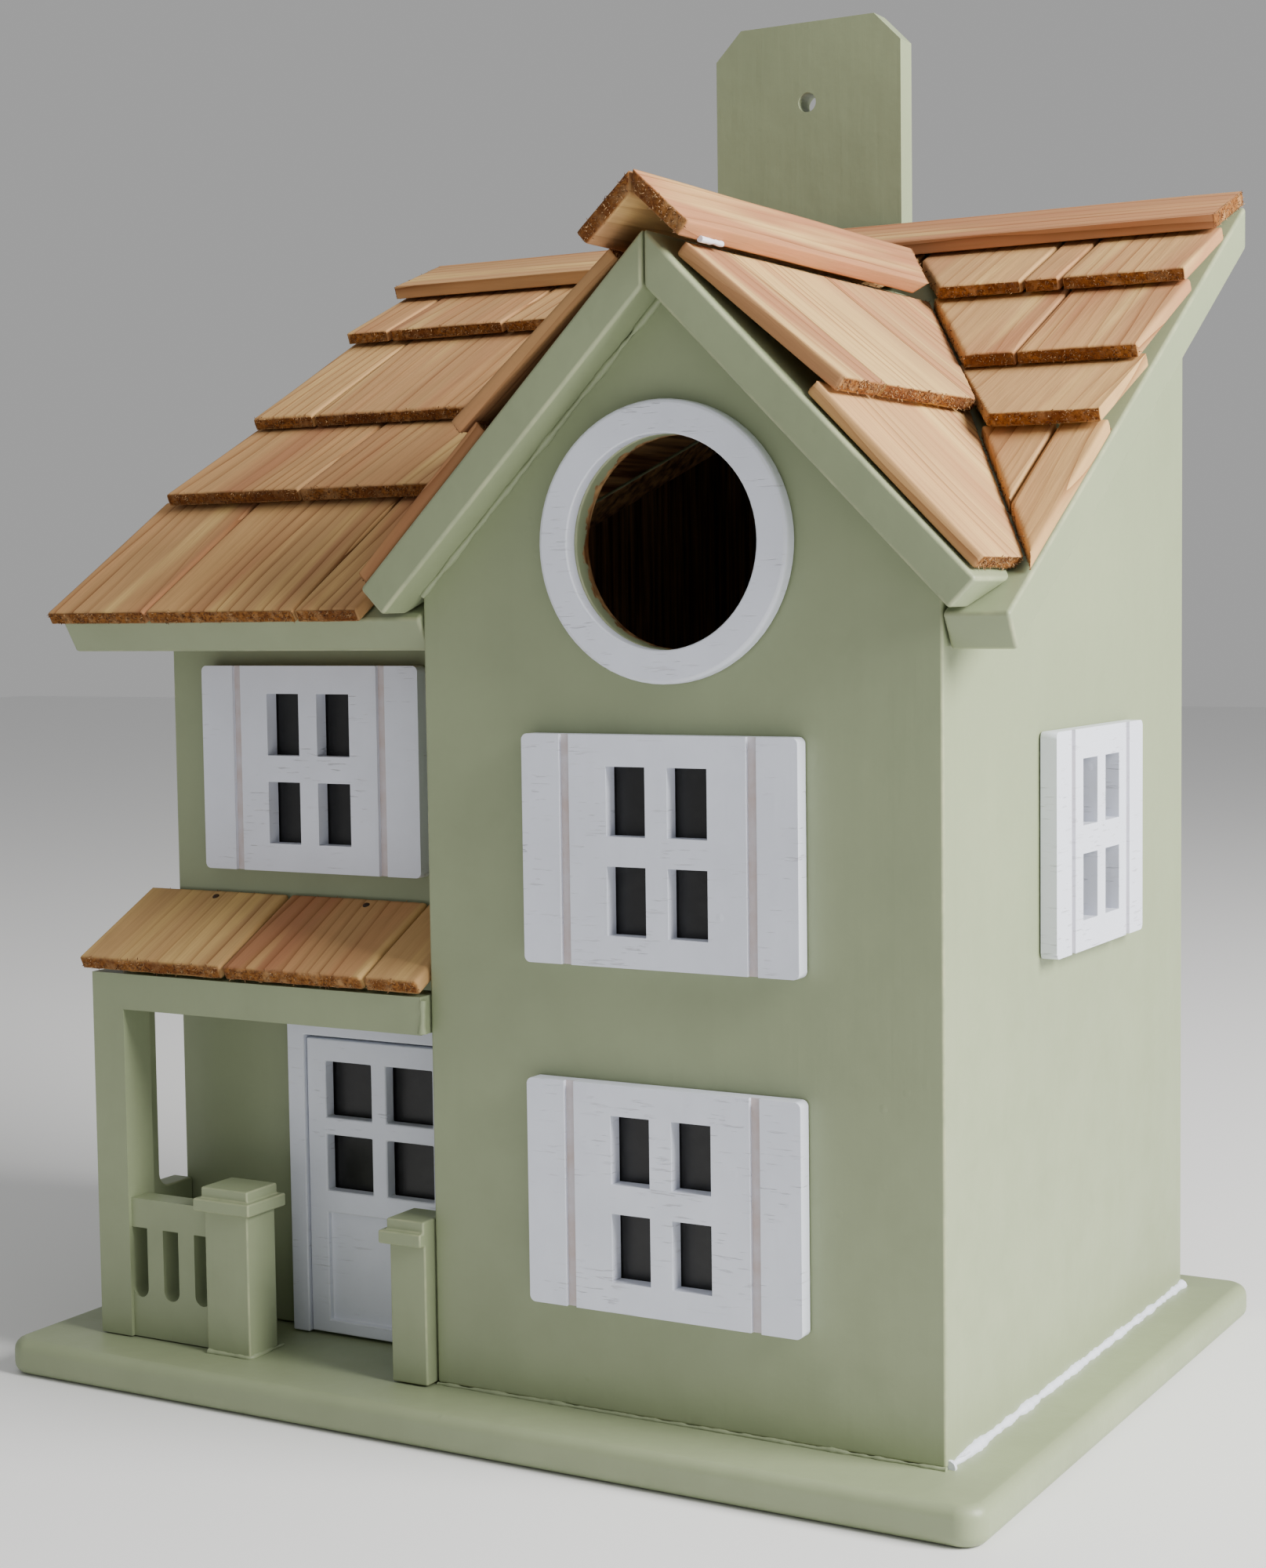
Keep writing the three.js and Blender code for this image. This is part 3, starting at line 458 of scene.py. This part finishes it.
def finish_piece(bm, name, materials):
    piece = link_mesh(name + "_look", bm)
    for key in materials:
        piece.data.materials.append(PAINT[key])
    smooth_all(piece.data)
    piece.data.set_sharp_from_angle(angle=math.radians(SMOOTH_BELOW))
    even = piece.modifiers.new("even", "WEIGHTED_NORMAL")
    even.weight = 100
    even.keep_sharp = True
    bake(piece)
    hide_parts(name)
    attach(piece, NODE_BODY[name])


# ------------------------------------------------------------------ geometry node trees

class Geometry:
    """A geometry node tree with named inputs: each call adds a node and returns its output."""

    def __init__(self, name, inputs):
        self.tree = bpy.data.node_groups.new(name, "GeometryNodeTree")
        face = self.tree.interface
        face.new_socket("Geometry", in_out="INPUT", socket_type="NodeSocketGeometry")
        self.ids = {}
        for label, kind in inputs.items():
            made = face.new_socket(label, in_out="INPUT", socket_type="NodeSocket" + kind)
            self.ids[label] = made.identifier
        face.new_socket("Geometry", in_out="OUTPUT", socket_type="NodeSocketGeometry")
        self.source = self.tree.nodes.new("NodeGroupInput").outputs

    def add(self, kind, links=(), out=0, **settings):
        return add_node(self.tree, kind, links, out, settings)

    def noise(self, scale, seed):
        return self.add("ShaderNodeTexNoise", {"Scale": scale, "W": seed, "Detail": 2.0},
                        noise_dimensions="4D")

    def join(self, *parts):
        made = self.tree.nodes.new("GeometryNodeJoinGeometry")
        for part in reversed(parts):
            self.tree.links.new(part, made.inputs[0])
        return made.outputs[0]

    def result(self, geometry):
        output = self.tree.nodes.new("NodeGroupOutput")
        self.tree.links.new(geometry, output.inputs[0])

    def grow_on(self, ob, **values):
        """Runs the tree on the object with these inputs, and keeps the result as its plain mesh."""
        modifier = ob.modifiers.new("grow", "NODES")
        modifier.node_group = self.tree
        for label, value in values.items():
            modifier[self.ids[label]] = value
        bake(ob)


def bake(ob):
    """Puts the modifiers' result into the object's own mesh."""
    graph = bpy.context.evaluated_depsgraph_get()
    graph.update()
    mesh = bpy.data.meshes.new_from_object(ob.evaluated_get(graph), preserve_all_data_layers=True,
                                           depsgraph=graph)
    ob.modifiers.clear()
    old = ob.data
    ob.data = mesh
    bpy.data.meshes.remove(old)


FIBRE_LEAN = 0.9
BEAD_STEP = 0.6 * MM
BEAD_LUMPS = 0.12 * MM


def saw_fibre_tree():
    """Short torn fibres that stand on the sawn ends of a board."""
    g = Geometry("saw-cut fibres", {"density": "Float", "fibre_length": "Float", "seed": "Int",
                                    "fibre_material": "Material"})
    board, density, length, seed, material = g.source[0:5]
    sawn = g.add("GeometryNodeInputNamedAttribute", {"Name": "sawn"}, data_type="FLOAT")
    ragged = g.add("ShaderNodeMapRange", {0: g.noise(900.0, 3.0), 1: 0.42, 2: 0.62})
    amount = g.add("ShaderNodeMath", {0: sawn, 1: ragged}, operation="MULTIPLY")
    amount = g.add("ShaderNodeMath", {0: amount, 1: density}, operation="MULTIPLY")
    scatter = g.tree.nodes.new("GeometryNodeDistributePointsOnFaces")
    g.tree.links.new(board, scatter.inputs["Mesh"])
    g.tree.links.new(amount, scatter.inputs["Density"])
    g.tree.links.new(seed, scatter.inputs["Seed"])
    fibre = g.add("GeometryNodeMeshCone", {"Vertices": 4, "Radius Top": 0.02 * MM,
                                           "Radius Bottom": 0.13 * MM, "Depth": length})
    least = (-FIBRE_LEAN, -FIBRE_LEAN, 0.0)
    most = (FIBRE_LEAN, FIBRE_LEAN, 6.28)
    lean = g.add("FunctionNodeRandomValue", {0: least, 1: most, "Seed": seed},
                 data_type="FLOAT_VECTOR")
    turn = g.add("FunctionNodeRotateRotation", {0: scatter.outputs["Rotation"], 1: lean},
                 rotation_space="LOCAL")
    size = g.add("FunctionNodeRandomValue", {2: 0.3, 3: 1.0, "Seed": seed}, out=1,
                 data_type="FLOAT")
    placed = g.add("GeometryNodeInstanceOnPoints",
                   {"Points": scatter.outputs["Points"], "Instance": fibre, "Rotation": turn,
                    "Scale": size})
    real = g.add("GeometryNodeRealizeInstances", {0: placed})
    coloured = g.add("GeometryNodeSetMaterial", {"Geometry": real, "Material": material})
    g.result(g.join(board, coloured))
    return g


def bead_tree():
    """A lumpy bead of paint or caulk that follows a line of edges."""
    g = Geometry("paint bead along a joint", {"bead_radius": "Float", "lumpiness": "Float",
                                              "seed": "Float", "bead_material": "Material"})
    line, radius, lumpy, seed, material = g.source[0:5]
    path = g.add("GeometryNodeMeshToCurve", {"Mesh": line})
    path = g.add("GeometryNodeResampleCurve", {"Curve": path, "Length": BEAD_STEP}, mode="LENGTH")
    swell = g.add("ShaderNodeMapRange", {0: g.noise(190.0, seed), 1: 0.3, 2: 0.7, 3: 0.35, 4: 1.25})
    swell = g.add("ShaderNodeMath", {0: swell, 1: radius}, operation="MULTIPLY")
    ring = g.add("GeometryNodeCurvePrimitiveCircle", {"Resolution": 10, "Radius": 1.0})
    tube = g.add("GeometryNodeCurveToMesh", {"Curve": path, "Profile Curve": ring, "Scale": swell,
                                             "Fill Caps": True})
    normal = g.tree.nodes.new("GeometryNodeInputNormal").outputs[0]
    push = g.add("ShaderNodeMapRange", {0: g.noise(700.0, seed), 1: 0.3, 2: 0.7, 3: -1.0, 4: 1.0})
    push = g.add("ShaderNodeMath", {0: push, 1: lumpy}, operation="MULTIPLY")
    push = g.add("ShaderNodeVectorMath", {0: normal, "Scale": push}, operation="SCALE")
    tube = g.add("GeometryNodeSetPosition", {"Geometry": tube, "Offset": push})
    tube = g.add("GeometryNodeRealizeInstances", {0: tube})
    g.result(g.add("GeometryNodeSetMaterial", {"Geometry": tube, "Material": material}))
    return g


SAW_FIBRES = saw_fibre_tree()
BEAD = bead_tree()


# ------------------------------------------------------------------ cedar boards

PLANK_CELL = 0.62 * MM
FIBRE_DENSITY = 6e6
FIBRE_LENGTH = 0.7 * MM
RIDGE_SEED = 50
RIDGE_WEAR = 0.5
SHINGLE_WEAR = 0.8


def largest_upward_normal(bm):
    areas = {}
    for face in bm.faces:
        if face.normal.z > 0.2:
            key = tuple(round(c, 2) for c in face.normal)
            areas.setdefault(key, []).append(face)
    best = max(areas.values(), key=lambda faces: sum(f.calc_area() for f in faces))
    return best[0].normal.copy()


def plank_frame(normal, along_hint):
    along = (along_hint - normal * along_hint.dot(normal)).normalized()
    across = along.cross(normal)
    return Matrix((across, along, normal)).transposed()


def rough_sawn(mesh, seed, end_wear):
    """Ripples, raised grain and torn ends, all cut inward from the board's own faces."""
    shift = Vector((seed * 0.37, seed * 0.61, seed * 0.13))
    sawn = mesh.attributes.new("sawn", "FLOAT", "POINT")
    moved = np.empty((len(mesh.vertices), 3))
    marks = np.empty(len(mesh.vertices))
    for i, vert in enumerate(mesh.vertices):
        p = vert.co / MM
        n = vert.normal
        end = min(1.0, max(0.0, abs(n.y) * 2.2 - 0.7))
        slow = noise.noise(Vector((p.x * 0.05, p.y * 0.03, p.z * 0.05)) + shift)
        grain = noise.noise(Vector((p.x * 0.8, p.y * 0.045, p.z * 0.8)) + shift)
        fine = noise.noise(Vector((p.x * 0.55, p.y * 0.5, p.z * 0.9)) - shift)
        torn = noise.noise(Vector((p.x * 0.16, p.y * 0.1, p.z * 0.5)) + 2 * shift)
        face = 0.22 * (0.5 + 0.5 * slow) + 0.14 * (0.5 + 0.5 * grain)
        ragged = end_wear * (0.55 * (0.5 + 0.5 * torn) + 0.5 * (0.5 + 0.5 * fine))
        depth = face * (1 - end) + ragged * end
        moved[i] = (p - n * depth) * MM
        marks[i] = end
    mesh.vertices.foreach_set("co", moved.ravel())
    sawn.data.foreach_set("value", marks)
    mesh.update()


def keep_within_cad(mesh):
    spots = np.empty(len(mesh.vertices) * 3)
    mesh.vertices.foreach_get("co", spots)
    spots = np.clip(spots.reshape(-1, 3), cad_box[0], cad_box[1])
    mesh.vertices.foreach_set("co", spots.ravel())


def cedar_piece(name, tone, bright, along_hint, seed, end_wear):
    bm = cad_bmesh(name)
    turn = plank_frame(largest_upward_normal(bm), along_hint)
    bmesh.ops.transform(bm, matrix=turn.transposed().to_4x4(), verts=bm.verts)
    board = link_mesh(name + "_look", bm)
    remesh = board.modifiers.new("cells", "REMESH")
    remesh.mode = "VOXEL"
    remesh.voxel_size = PLANK_CELL
    bake(board)
    mesh = board.data
    rough_sawn(mesh, seed, end_wear)
    for label, value in (("tone", tone), ("bright", bright)):
        mark = mesh.attributes.new(label, "FLOAT", "POINT")
        mark.data.foreach_set("value", np.full(len(mesh.vertices), value))
    uv = mesh.uv_layers.new(name="grain")
    spots = np.empty(len(mesh.loops) * 2)
    rng = np.random.default_rng(seed + 11)
    shift = rng.uniform(0, 3, 2)
    for i, loop in enumerate(mesh.loops):
        p = mesh.vertices[loop.vertex_index].co
        spots[2 * i] = p.x + 0.6 * p.z + shift[0]
        spots[2 * i + 1] = p.y + shift[1]
    uv.data.foreach_set("uv", spots)
    mesh.transform(turn.to_4x4())
    mesh.materials.append(PAINT["cedar"])
    SAW_FIBRES.grow_on(board, density=FIBRE_DENSITY, fibre_length=FIBRE_LENGTH, seed=seed + 1,
                       fibre_material=PAINT["fibre"])
    keep_within_cad(board.data)
    smooth_all(board.data)
    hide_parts(name)
    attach(board, NODE_BODY[name])


# tone runs from light yellow at 0 to pink at 1, and bright scales the board's whole colour
CEDAR_BOARDS = {
    "shingle_left_1_1": (0.55, 0.95), "shingle_left_1_2": (0.35, 1.0),
    "shingle_left_1_3": (0.6, 0.95),
    "shingle_left_2_1": (0.5, 0.95), "shingle_left_2_2": (0.7, 0.92),
    "shingle_left_3_1": (0.3, 1.0), "shingle_left_3_2": (0.6, 0.95),
    "shingle_left_4_1": (0.4, 1.0), "shingle_left_4_2": (0.65, 0.95),
    "shingle_left_4_3": (0.4, 1.0),
    "shingle_right_1_1": (0.3, 1.0), "shingle_right_1_2": (0.45, 1.0),
    "shingle_right_2_1": (0.3, 1.02),
    "shingle_right_3_1": (0.5, 1.0), "shingle_right_3_2": (0.25, 1.02),
    "shingle_right_4_1": (0.4, 1.0), "shingle_right_4_2": (0.6, 0.97),
    "shingle_right_4_3": (0.35, 1.0),
    "gable_shingle_left_lower": (0.4, 0.97), "gable_shingle_left_upper_1": (0.5, 0.95),
    "gable_shingle_right_lower": (0.45, 1.05), "gable_shingle_right_upper_1": (0.95, 0.9),
    "gable_shingle_right_upper_2": (0.1, 1.03), "gable_shingle_right_upper_3": (0.8, 0.97),
    "porch_roof_shingle_left": (0.05, 1.03), "porch_roof_shingle_middle": (0.75, 1.0),
    "porch_roof_shingle_right": (0.2, 1.05),
}
RIDGE_BOARDS = {
    "main_ridge_board": (0.7, 1.0, RIGHT), "gable_ridge_cap_left": (0.95, 0.97, BACK),
    "gable_ridge_cap_right": (0.9, 1.0, BACK),
}


# ------------------------------------------------------------------ painted pieces

WALL_INSIDE = {
    "tower_front_panel": BACK, "right_side_panel": -RIGHT, "tower_left_panel": RIGHT,
    "left_side_panel": RIGHT, "wing_front_panel": BACK, "back_panel": -BACK,
    "clean_out_door": -BACK,
}
PANES_BEHIND = {
    "tower_front_panel": ("tower_window_upper", "tower_window_lower"),
    "wing_front_panel": ("wing_window", "door_leaf"),
    "right_side_panel": ("side_window",),
}
PANE_INSET = 2.0 * MM
SEAM_GAP = 0.3 * MM
SEAM_WIDTH = 0.32 * MM
SEAM_DEPTH = 3 * MM
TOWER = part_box("tower_front_panel")
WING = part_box("wing_front_panel")
# filled and painted corners: name, side wall, x and y of the front wall's back edge, and which side
SEAMS = [
    ("filler_right_corner", "right_side_panel", TOWER[1][0], TOWER[1][1], 1),
    ("filler_left_corner", "tower_left_panel", TOWER[0][0], TOWER[1][1], -1),
    ("filler_wing_corner", "left_side_panel", WING[0][0], WING[1][1], -1),
]
BORE_WEAR = 0.75
RUBBED_WITHIN = 1.2 * MM
GROOVE_FROM = 0.4 * MM
GROOVE_TO = 1.2 * MM
WALL_EDGE = 0.6 * MM
WHITE_EDGE = 0.35 * MM
ROOM = (Vector((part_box("left_side_panel")[1][0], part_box("tower_front_panel")[1][1], 0)),
        Vector((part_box("right_side_panel")[0][0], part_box("back_panel")[0][1], 0)))


def mark_bare(bm, inside, bore=None):
    """Marks the inward faces as bare wood; through a bore (centre, reach) the mark fades out."""
    layer = bm.loops.layers.float.new("bare")
    deepest = max(v.co.dot(inside) for v in bm.verts)
    for face in bm.faces:
        facing = face.normal.dot(inside) > 0.9
        in_bore = bore and (face.calc_center_median() - bore[0]).length < bore[1]
        for loop in face.loops:
            near = loop.vert.co.dot(inside) > deepest - RUBBED_WITHIN
            loop[layer] = 1.0 if facing else BORE_WEAR * (near and bool(in_bore))


def near_seam(spot, x, y, sideways=0.2 * MM):
    return abs(spot.x - x) < sideways and abs(spot.y - y) < 0.5 * MM


def on_seam(edge):
    middle = (edge.verts[0].co + edge.verts[1].co) / 2
    upright = abs((edge.verts[1].co - edge.verts[0].co).normalized().z) > 0.9
    return upright and any(near_seam(middle, x, y) for _, _, x, y, _ in SEAMS)


def filled_seam(name, wall, x, y, side):
    """A strip of filler, flush with both walls, that closes the joint behind a corner."""
    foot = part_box(wall)[0][2]
    corner = [v.co.z for v in NODES[wall].data.vertices if near_seam(v.co, x, y, 0.1 * MM)]
    bm = bmesh.new()
    bmesh.ops.create_cube(bm, size=1)
    height = max(corner) - foot
    size = Matrix.Diagonal((SEAM_DEPTH, SEAM_WIDTH, height, 1))
    centre = Vector((x - side * SEAM_DEPTH / 2, y + SEAM_GAP / 2, foot + height / 2))
    bmesh.ops.transform(bm, matrix=Matrix.Translation(centre) @ size, verts=bm.verts)
    mark_bare(bm, Vector((-side, 0, 0)))
    strip = link_mesh(name, bm)
    strip.data.materials.append(PAINT["wall"])
    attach(strip, "house")


def wall_piece(name):
    bm = cad_bmesh(name)
    inside = WALL_INSIDE[name]
    patches = []
    flat = RIGHT if abs(inside.y) > 0.5 else BACK
    for window in PANES_BEHIND.get(name, ()):
        low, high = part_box(window)
        low, high = Vector(low), Vector(high)
        patch = []
        for axis in (flat, UP):
            ends = (low.dot(axis) + PANE_INSET, high.dot(axis) - PANE_INSET)
            slice_by(bm, axis, ends)
            patch.append((axis, *ends))
        patches.append(patch)
    round_edges(bm, WALL_EDGE, skip=on_seam)
    ring_low, ring_high = (Vector(c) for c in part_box("entry_ring"))
    bore = ((ring_low + ring_high) / 2, (ring_high.x - ring_low.x) / 2)
    mark_bare(bm, inside, bore if name == "tower_front_panel" else None)
    for face in bm.faces:
        centre = face.calc_center_median()
        if face.normal.dot(inside) > -0.9:
            continue
        if any(all(lo < centre.dot(axis) < hi for axis, lo, hi in patch) for patch in patches):
            face.material_index = 1
    finish_piece(bm, name, ("wall", "black"))


def painted_piece(name, paint, edge):
    bm = cad_bmesh(name)
    decks = "deck" in name
    if decks:
        slice_by(bm, RIGHT, (ROOM[0].x, ROOM[1].x))
        slice_by(bm, BACK, (ROOM[0].y, ROOM[1].y))
    round_edges(bm, edge * MM)
    # deck undersides inside the house get the bare mark; their dark bare-wood colour is partly
    # painted shade
    layer = bm.loops.layers.float.new("bare")
    for face in bm.faces:
        spot = face.calc_center_median()
        under = all(ROOM[0][i] < spot[i] < ROOM[1][i] for i in (0, 1)) and face.normal.z < -0.3
        for loop in face.loops:
            loop[layer] = float(decks and under)
    finish_piece(bm, name, (paint,))


def white_piece(name, front):
    """A white window, door or trim piece; on a window, faces set back a little behind its front get
    the primer's pink.
    """
    bm = cad_bmesh(name)
    nearest = max(v.co.dot(front) for v in bm.verts)
    round_edges(bm, WHITE_EDGE, 2)
    for face in bm.faces:
        back_by = nearest - face.calc_center_median().dot(front)
        in_groove = face.normal.dot(front) > 0.9 and GROOVE_FROM < back_by < GROOVE_TO
        if "window" in name and in_groove:
            face.material_index = 1
    finish_piece(bm, name, ("white", "primer"))


def bead(name, points, radius, paint, seed):
    bm = bmesh.new()
    verts = [bm.verts.new(Vector(p) * MM) for p in points]
    for a, b in zip(verts, verts[1:]):
        bm.edges.new((a, b))
    line = link_mesh(name, bm)
    BEAD.grow_on(line, bead_radius=radius * MM, lumpiness=BEAD_LUMPS, seed=float(seed),
                 bead_material=PAINT[paint])
    smooth_all(line.data)
    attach(line, "house")


# paint, and how many millimetres its edges are rounded by
PAINTED = {
    "base_board": ("level", 1.0), "main_roof_deck": ("deck", 0.8),
    "gable_deck_left": ("depth", 0.8), "gable_deck_right": ("depth", 0.8),
    "hanging_board": ("upright", 0.8), "turn_button": ("level", 0.8),
    "porch_front_frame": ("upright", 0.45), "porch_side_frame": ("upright", 0.45),
    "newel_post": ("upright", 0.4), "half_newel_post": ("upright", 0.4),
}
# board, and how far along it the nail is
NAILS = {
    "porch_nail_left": ("porch_roof_shingle_left", 0.52),
    "porch_nail_middle": ("porch_roof_shingle_middle", 0.6),
}
NAIL_DOWN = 3.0 * MM
NAIL_SIDES = 20
NAIL_CROWN = 0.12
NAIL_RINGS = ((0.55, 0.08), (0.75, -0.1), (0.75, -0.4))
WHITES = {
    "entry_ring": -BACK, "tower_window_upper": -BACK, "tower_window_lower": -BACK,
    "wing_window": -BACK, "side_window": RIGHT, "door_frame": -BACK, "door_leaf": -BACK,
}


def build():
    for name in WALL_INSIDE:
        wall_piece(name)
    for name, (paint, edge) in PAINTED.items():
        painted_piece(name, paint, edge)
    for name, front in WHITES.items():
        white_piece(name, front)
    for seed, (name, (tone, bright)) in enumerate(CEDAR_BOARDS.items()):
        cedar_piece(name, tone, bright, UP, seed, SHINGLE_WEAR)
    for seed, (name, (tone, bright, along)) in enumerate(RIDGE_BOARDS.items()):
        cedar_piece(name, tone, bright, along, RIDGE_SEED + seed, RIDGE_WEAR)
    for name, ob in NODES.items():
        if NODE_SLOT[name] == "steel":
            for holder in ob.material_slots:
                holder.material = PAINT["steel"]
    for seam in SEAMS:
        filled_seam(*seam)
    add_beads()
    for name, (board, along_x) in NAILS.items():
        nail_head(name, board, along_x)


def corners(name):
    """A node's lowest and highest corners in millimetres."""
    return (Vector(c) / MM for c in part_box(name))


def add_beads():
    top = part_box("base_board")[1][2] / MM
    low, high = corners("right_side_panel")
    front_low, front_high = corners("tower_front_panel")
    newel_low, newel_high = corners("newel_post")
    beam_low, beam_high = corners("porch_front_frame")
    cap_low, cap_high = corners("gable_ridge_cap_right")
    newel_y = newel_low.y + 1.6
    newel_x = newel_high.x - 1.6
    beam_y = beam_low.y + 0.5
    cap_x = cap_high.x - 1.6
    cap_z = cap_low.z + 0.4
    # name, radius, paint and points; each bead's seed is its place in this list
    beads = (
        ("caulk_right_wall", 1.2, "white",
         [(high.x, low.y - 4.5, top + 0.3), (high.x, high.y, top + 0.3)]),
        ("paint_front_wall", 0.5, "upright",
         [(front_low.x, front_low.y, top + 0.15), (front_high.x, front_low.y, top + 0.15)]),
        ("paint_under_gable", 0.75, "upright", gable_underside(front_low, front_high)),
        ("paint_newel_foot", 0.6, "level",
         [(newel_low.x + 2, newel_y, top + 0.2), (newel_x, newel_y, top + 0.2),
          (newel_x, newel_high.y, top + 0.2)]),
        ("paint_beam_end", 0.8, "level",
         [(beam_high.x, beam_y, beam_high.z - 7.0),
          (beam_high.x + 0.3, beam_y, beam_high.z - 0.6)]),
        ("glue_under_cap", 0.6, "white",
         [(cap_x, cap_low.y + 7, cap_z), (cap_x, cap_low.y + 15, cap_z)]),
    )
    for seed, (name, radius, paint, points) in enumerate(beads, 1):
        bead(name, points, radius, paint, seed)


def gable_underside(wall_low, wall_high):
    """Where the tower's front meets the underside of the gable decks: foot, peak and foot."""
    peak_x = (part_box("gable_deck_left")[1][0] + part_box("gable_deck_right")[0][0]) / 2 / MM
    wall_y = wall_low.y - 0.1
    feet = []
    peaks = []
    for wall_x, name in ((wall_low.x, "gable_deck_left"), (wall_high.x, "gable_deck_right")):
        under = [v.co / MM for v in NODES[name].data.vertices]
        front = min(p.y for p in under)
        edge = [p for p in under if p.y < front + 0.5]
        foot = min(edge, key=lambda p: p.z)
        inner = min((p for p in edge if abs(p.x - peak_x) < 1), key=lambda p: p.z)
        corner = inner.lerp(foot, (wall_x - inner.x) / (foot.x - inner.x))
        feet.append(Vector((corner.x, wall_y, corner.z - 0.3)))
        peaks.append(Vector((peak_x, wall_y, inner.z - 0.5)))
    return [feet[0], peaks[0], feet[1]]


def nail_head(name, board, along_x):
    """A small dark nail head set into a porch roof shingle, near its top edge."""
    vertices = [v.co for v in NODES[board].data.vertices]
    low, high = (Vector(c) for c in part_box(board))
    bm = cad_bmesh(board)
    normal = largest_upward_normal(bm)
    bm.free()
    ridge = max(vertices, key=lambda v: v.z)
    slope_down = (UP - normal * normal.z).normalized() * -1
    spot = Vector((low.x + (high.x - low.x) * along_x, ridge.y, ridge.z))
    spot += slope_down * NAIL_DOWN
    head = bmesh.new()
    rings = []
    for radius, lift in NAIL_RINGS:
        angles = [k * math.tau / NAIL_SIDES for k in range(NAIL_SIDES)]
        rings.append([head.verts.new((radius * MM * math.cos(angle), radius * MM * math.sin(angle),
                                      lift * MM)) for angle in angles])
    crown = head.verts.new((0, 0, NAIL_CROWN * MM))
    point = head.verts.new((0, 0, NAIL_RINGS[-1][1] * MM))
    for k in range(NAIL_SIDES):
        j = (k + 1) % NAIL_SIDES
        head.faces.new((crown, rings[0][k], rings[0][j]))
        head.faces.new((point, rings[-1][j], rings[-1][k]))
        for upper, lower in zip(rings, rings[1:]):
            head.faces.new((upper[k], lower[k], lower[j], upper[j]))
    turn = normal.to_track_quat("Z", "Y").to_matrix().to_4x4()
    bmesh.ops.transform(head, matrix=Matrix.Translation(spot) @ turn, verts=head.verts)
    nail = link_mesh(name, head)
    nail.data.materials.append(PAINT["rust"])
    smooth_all(nail.data)
    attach(nail, "house")


build()
add_stage()
add_camera()
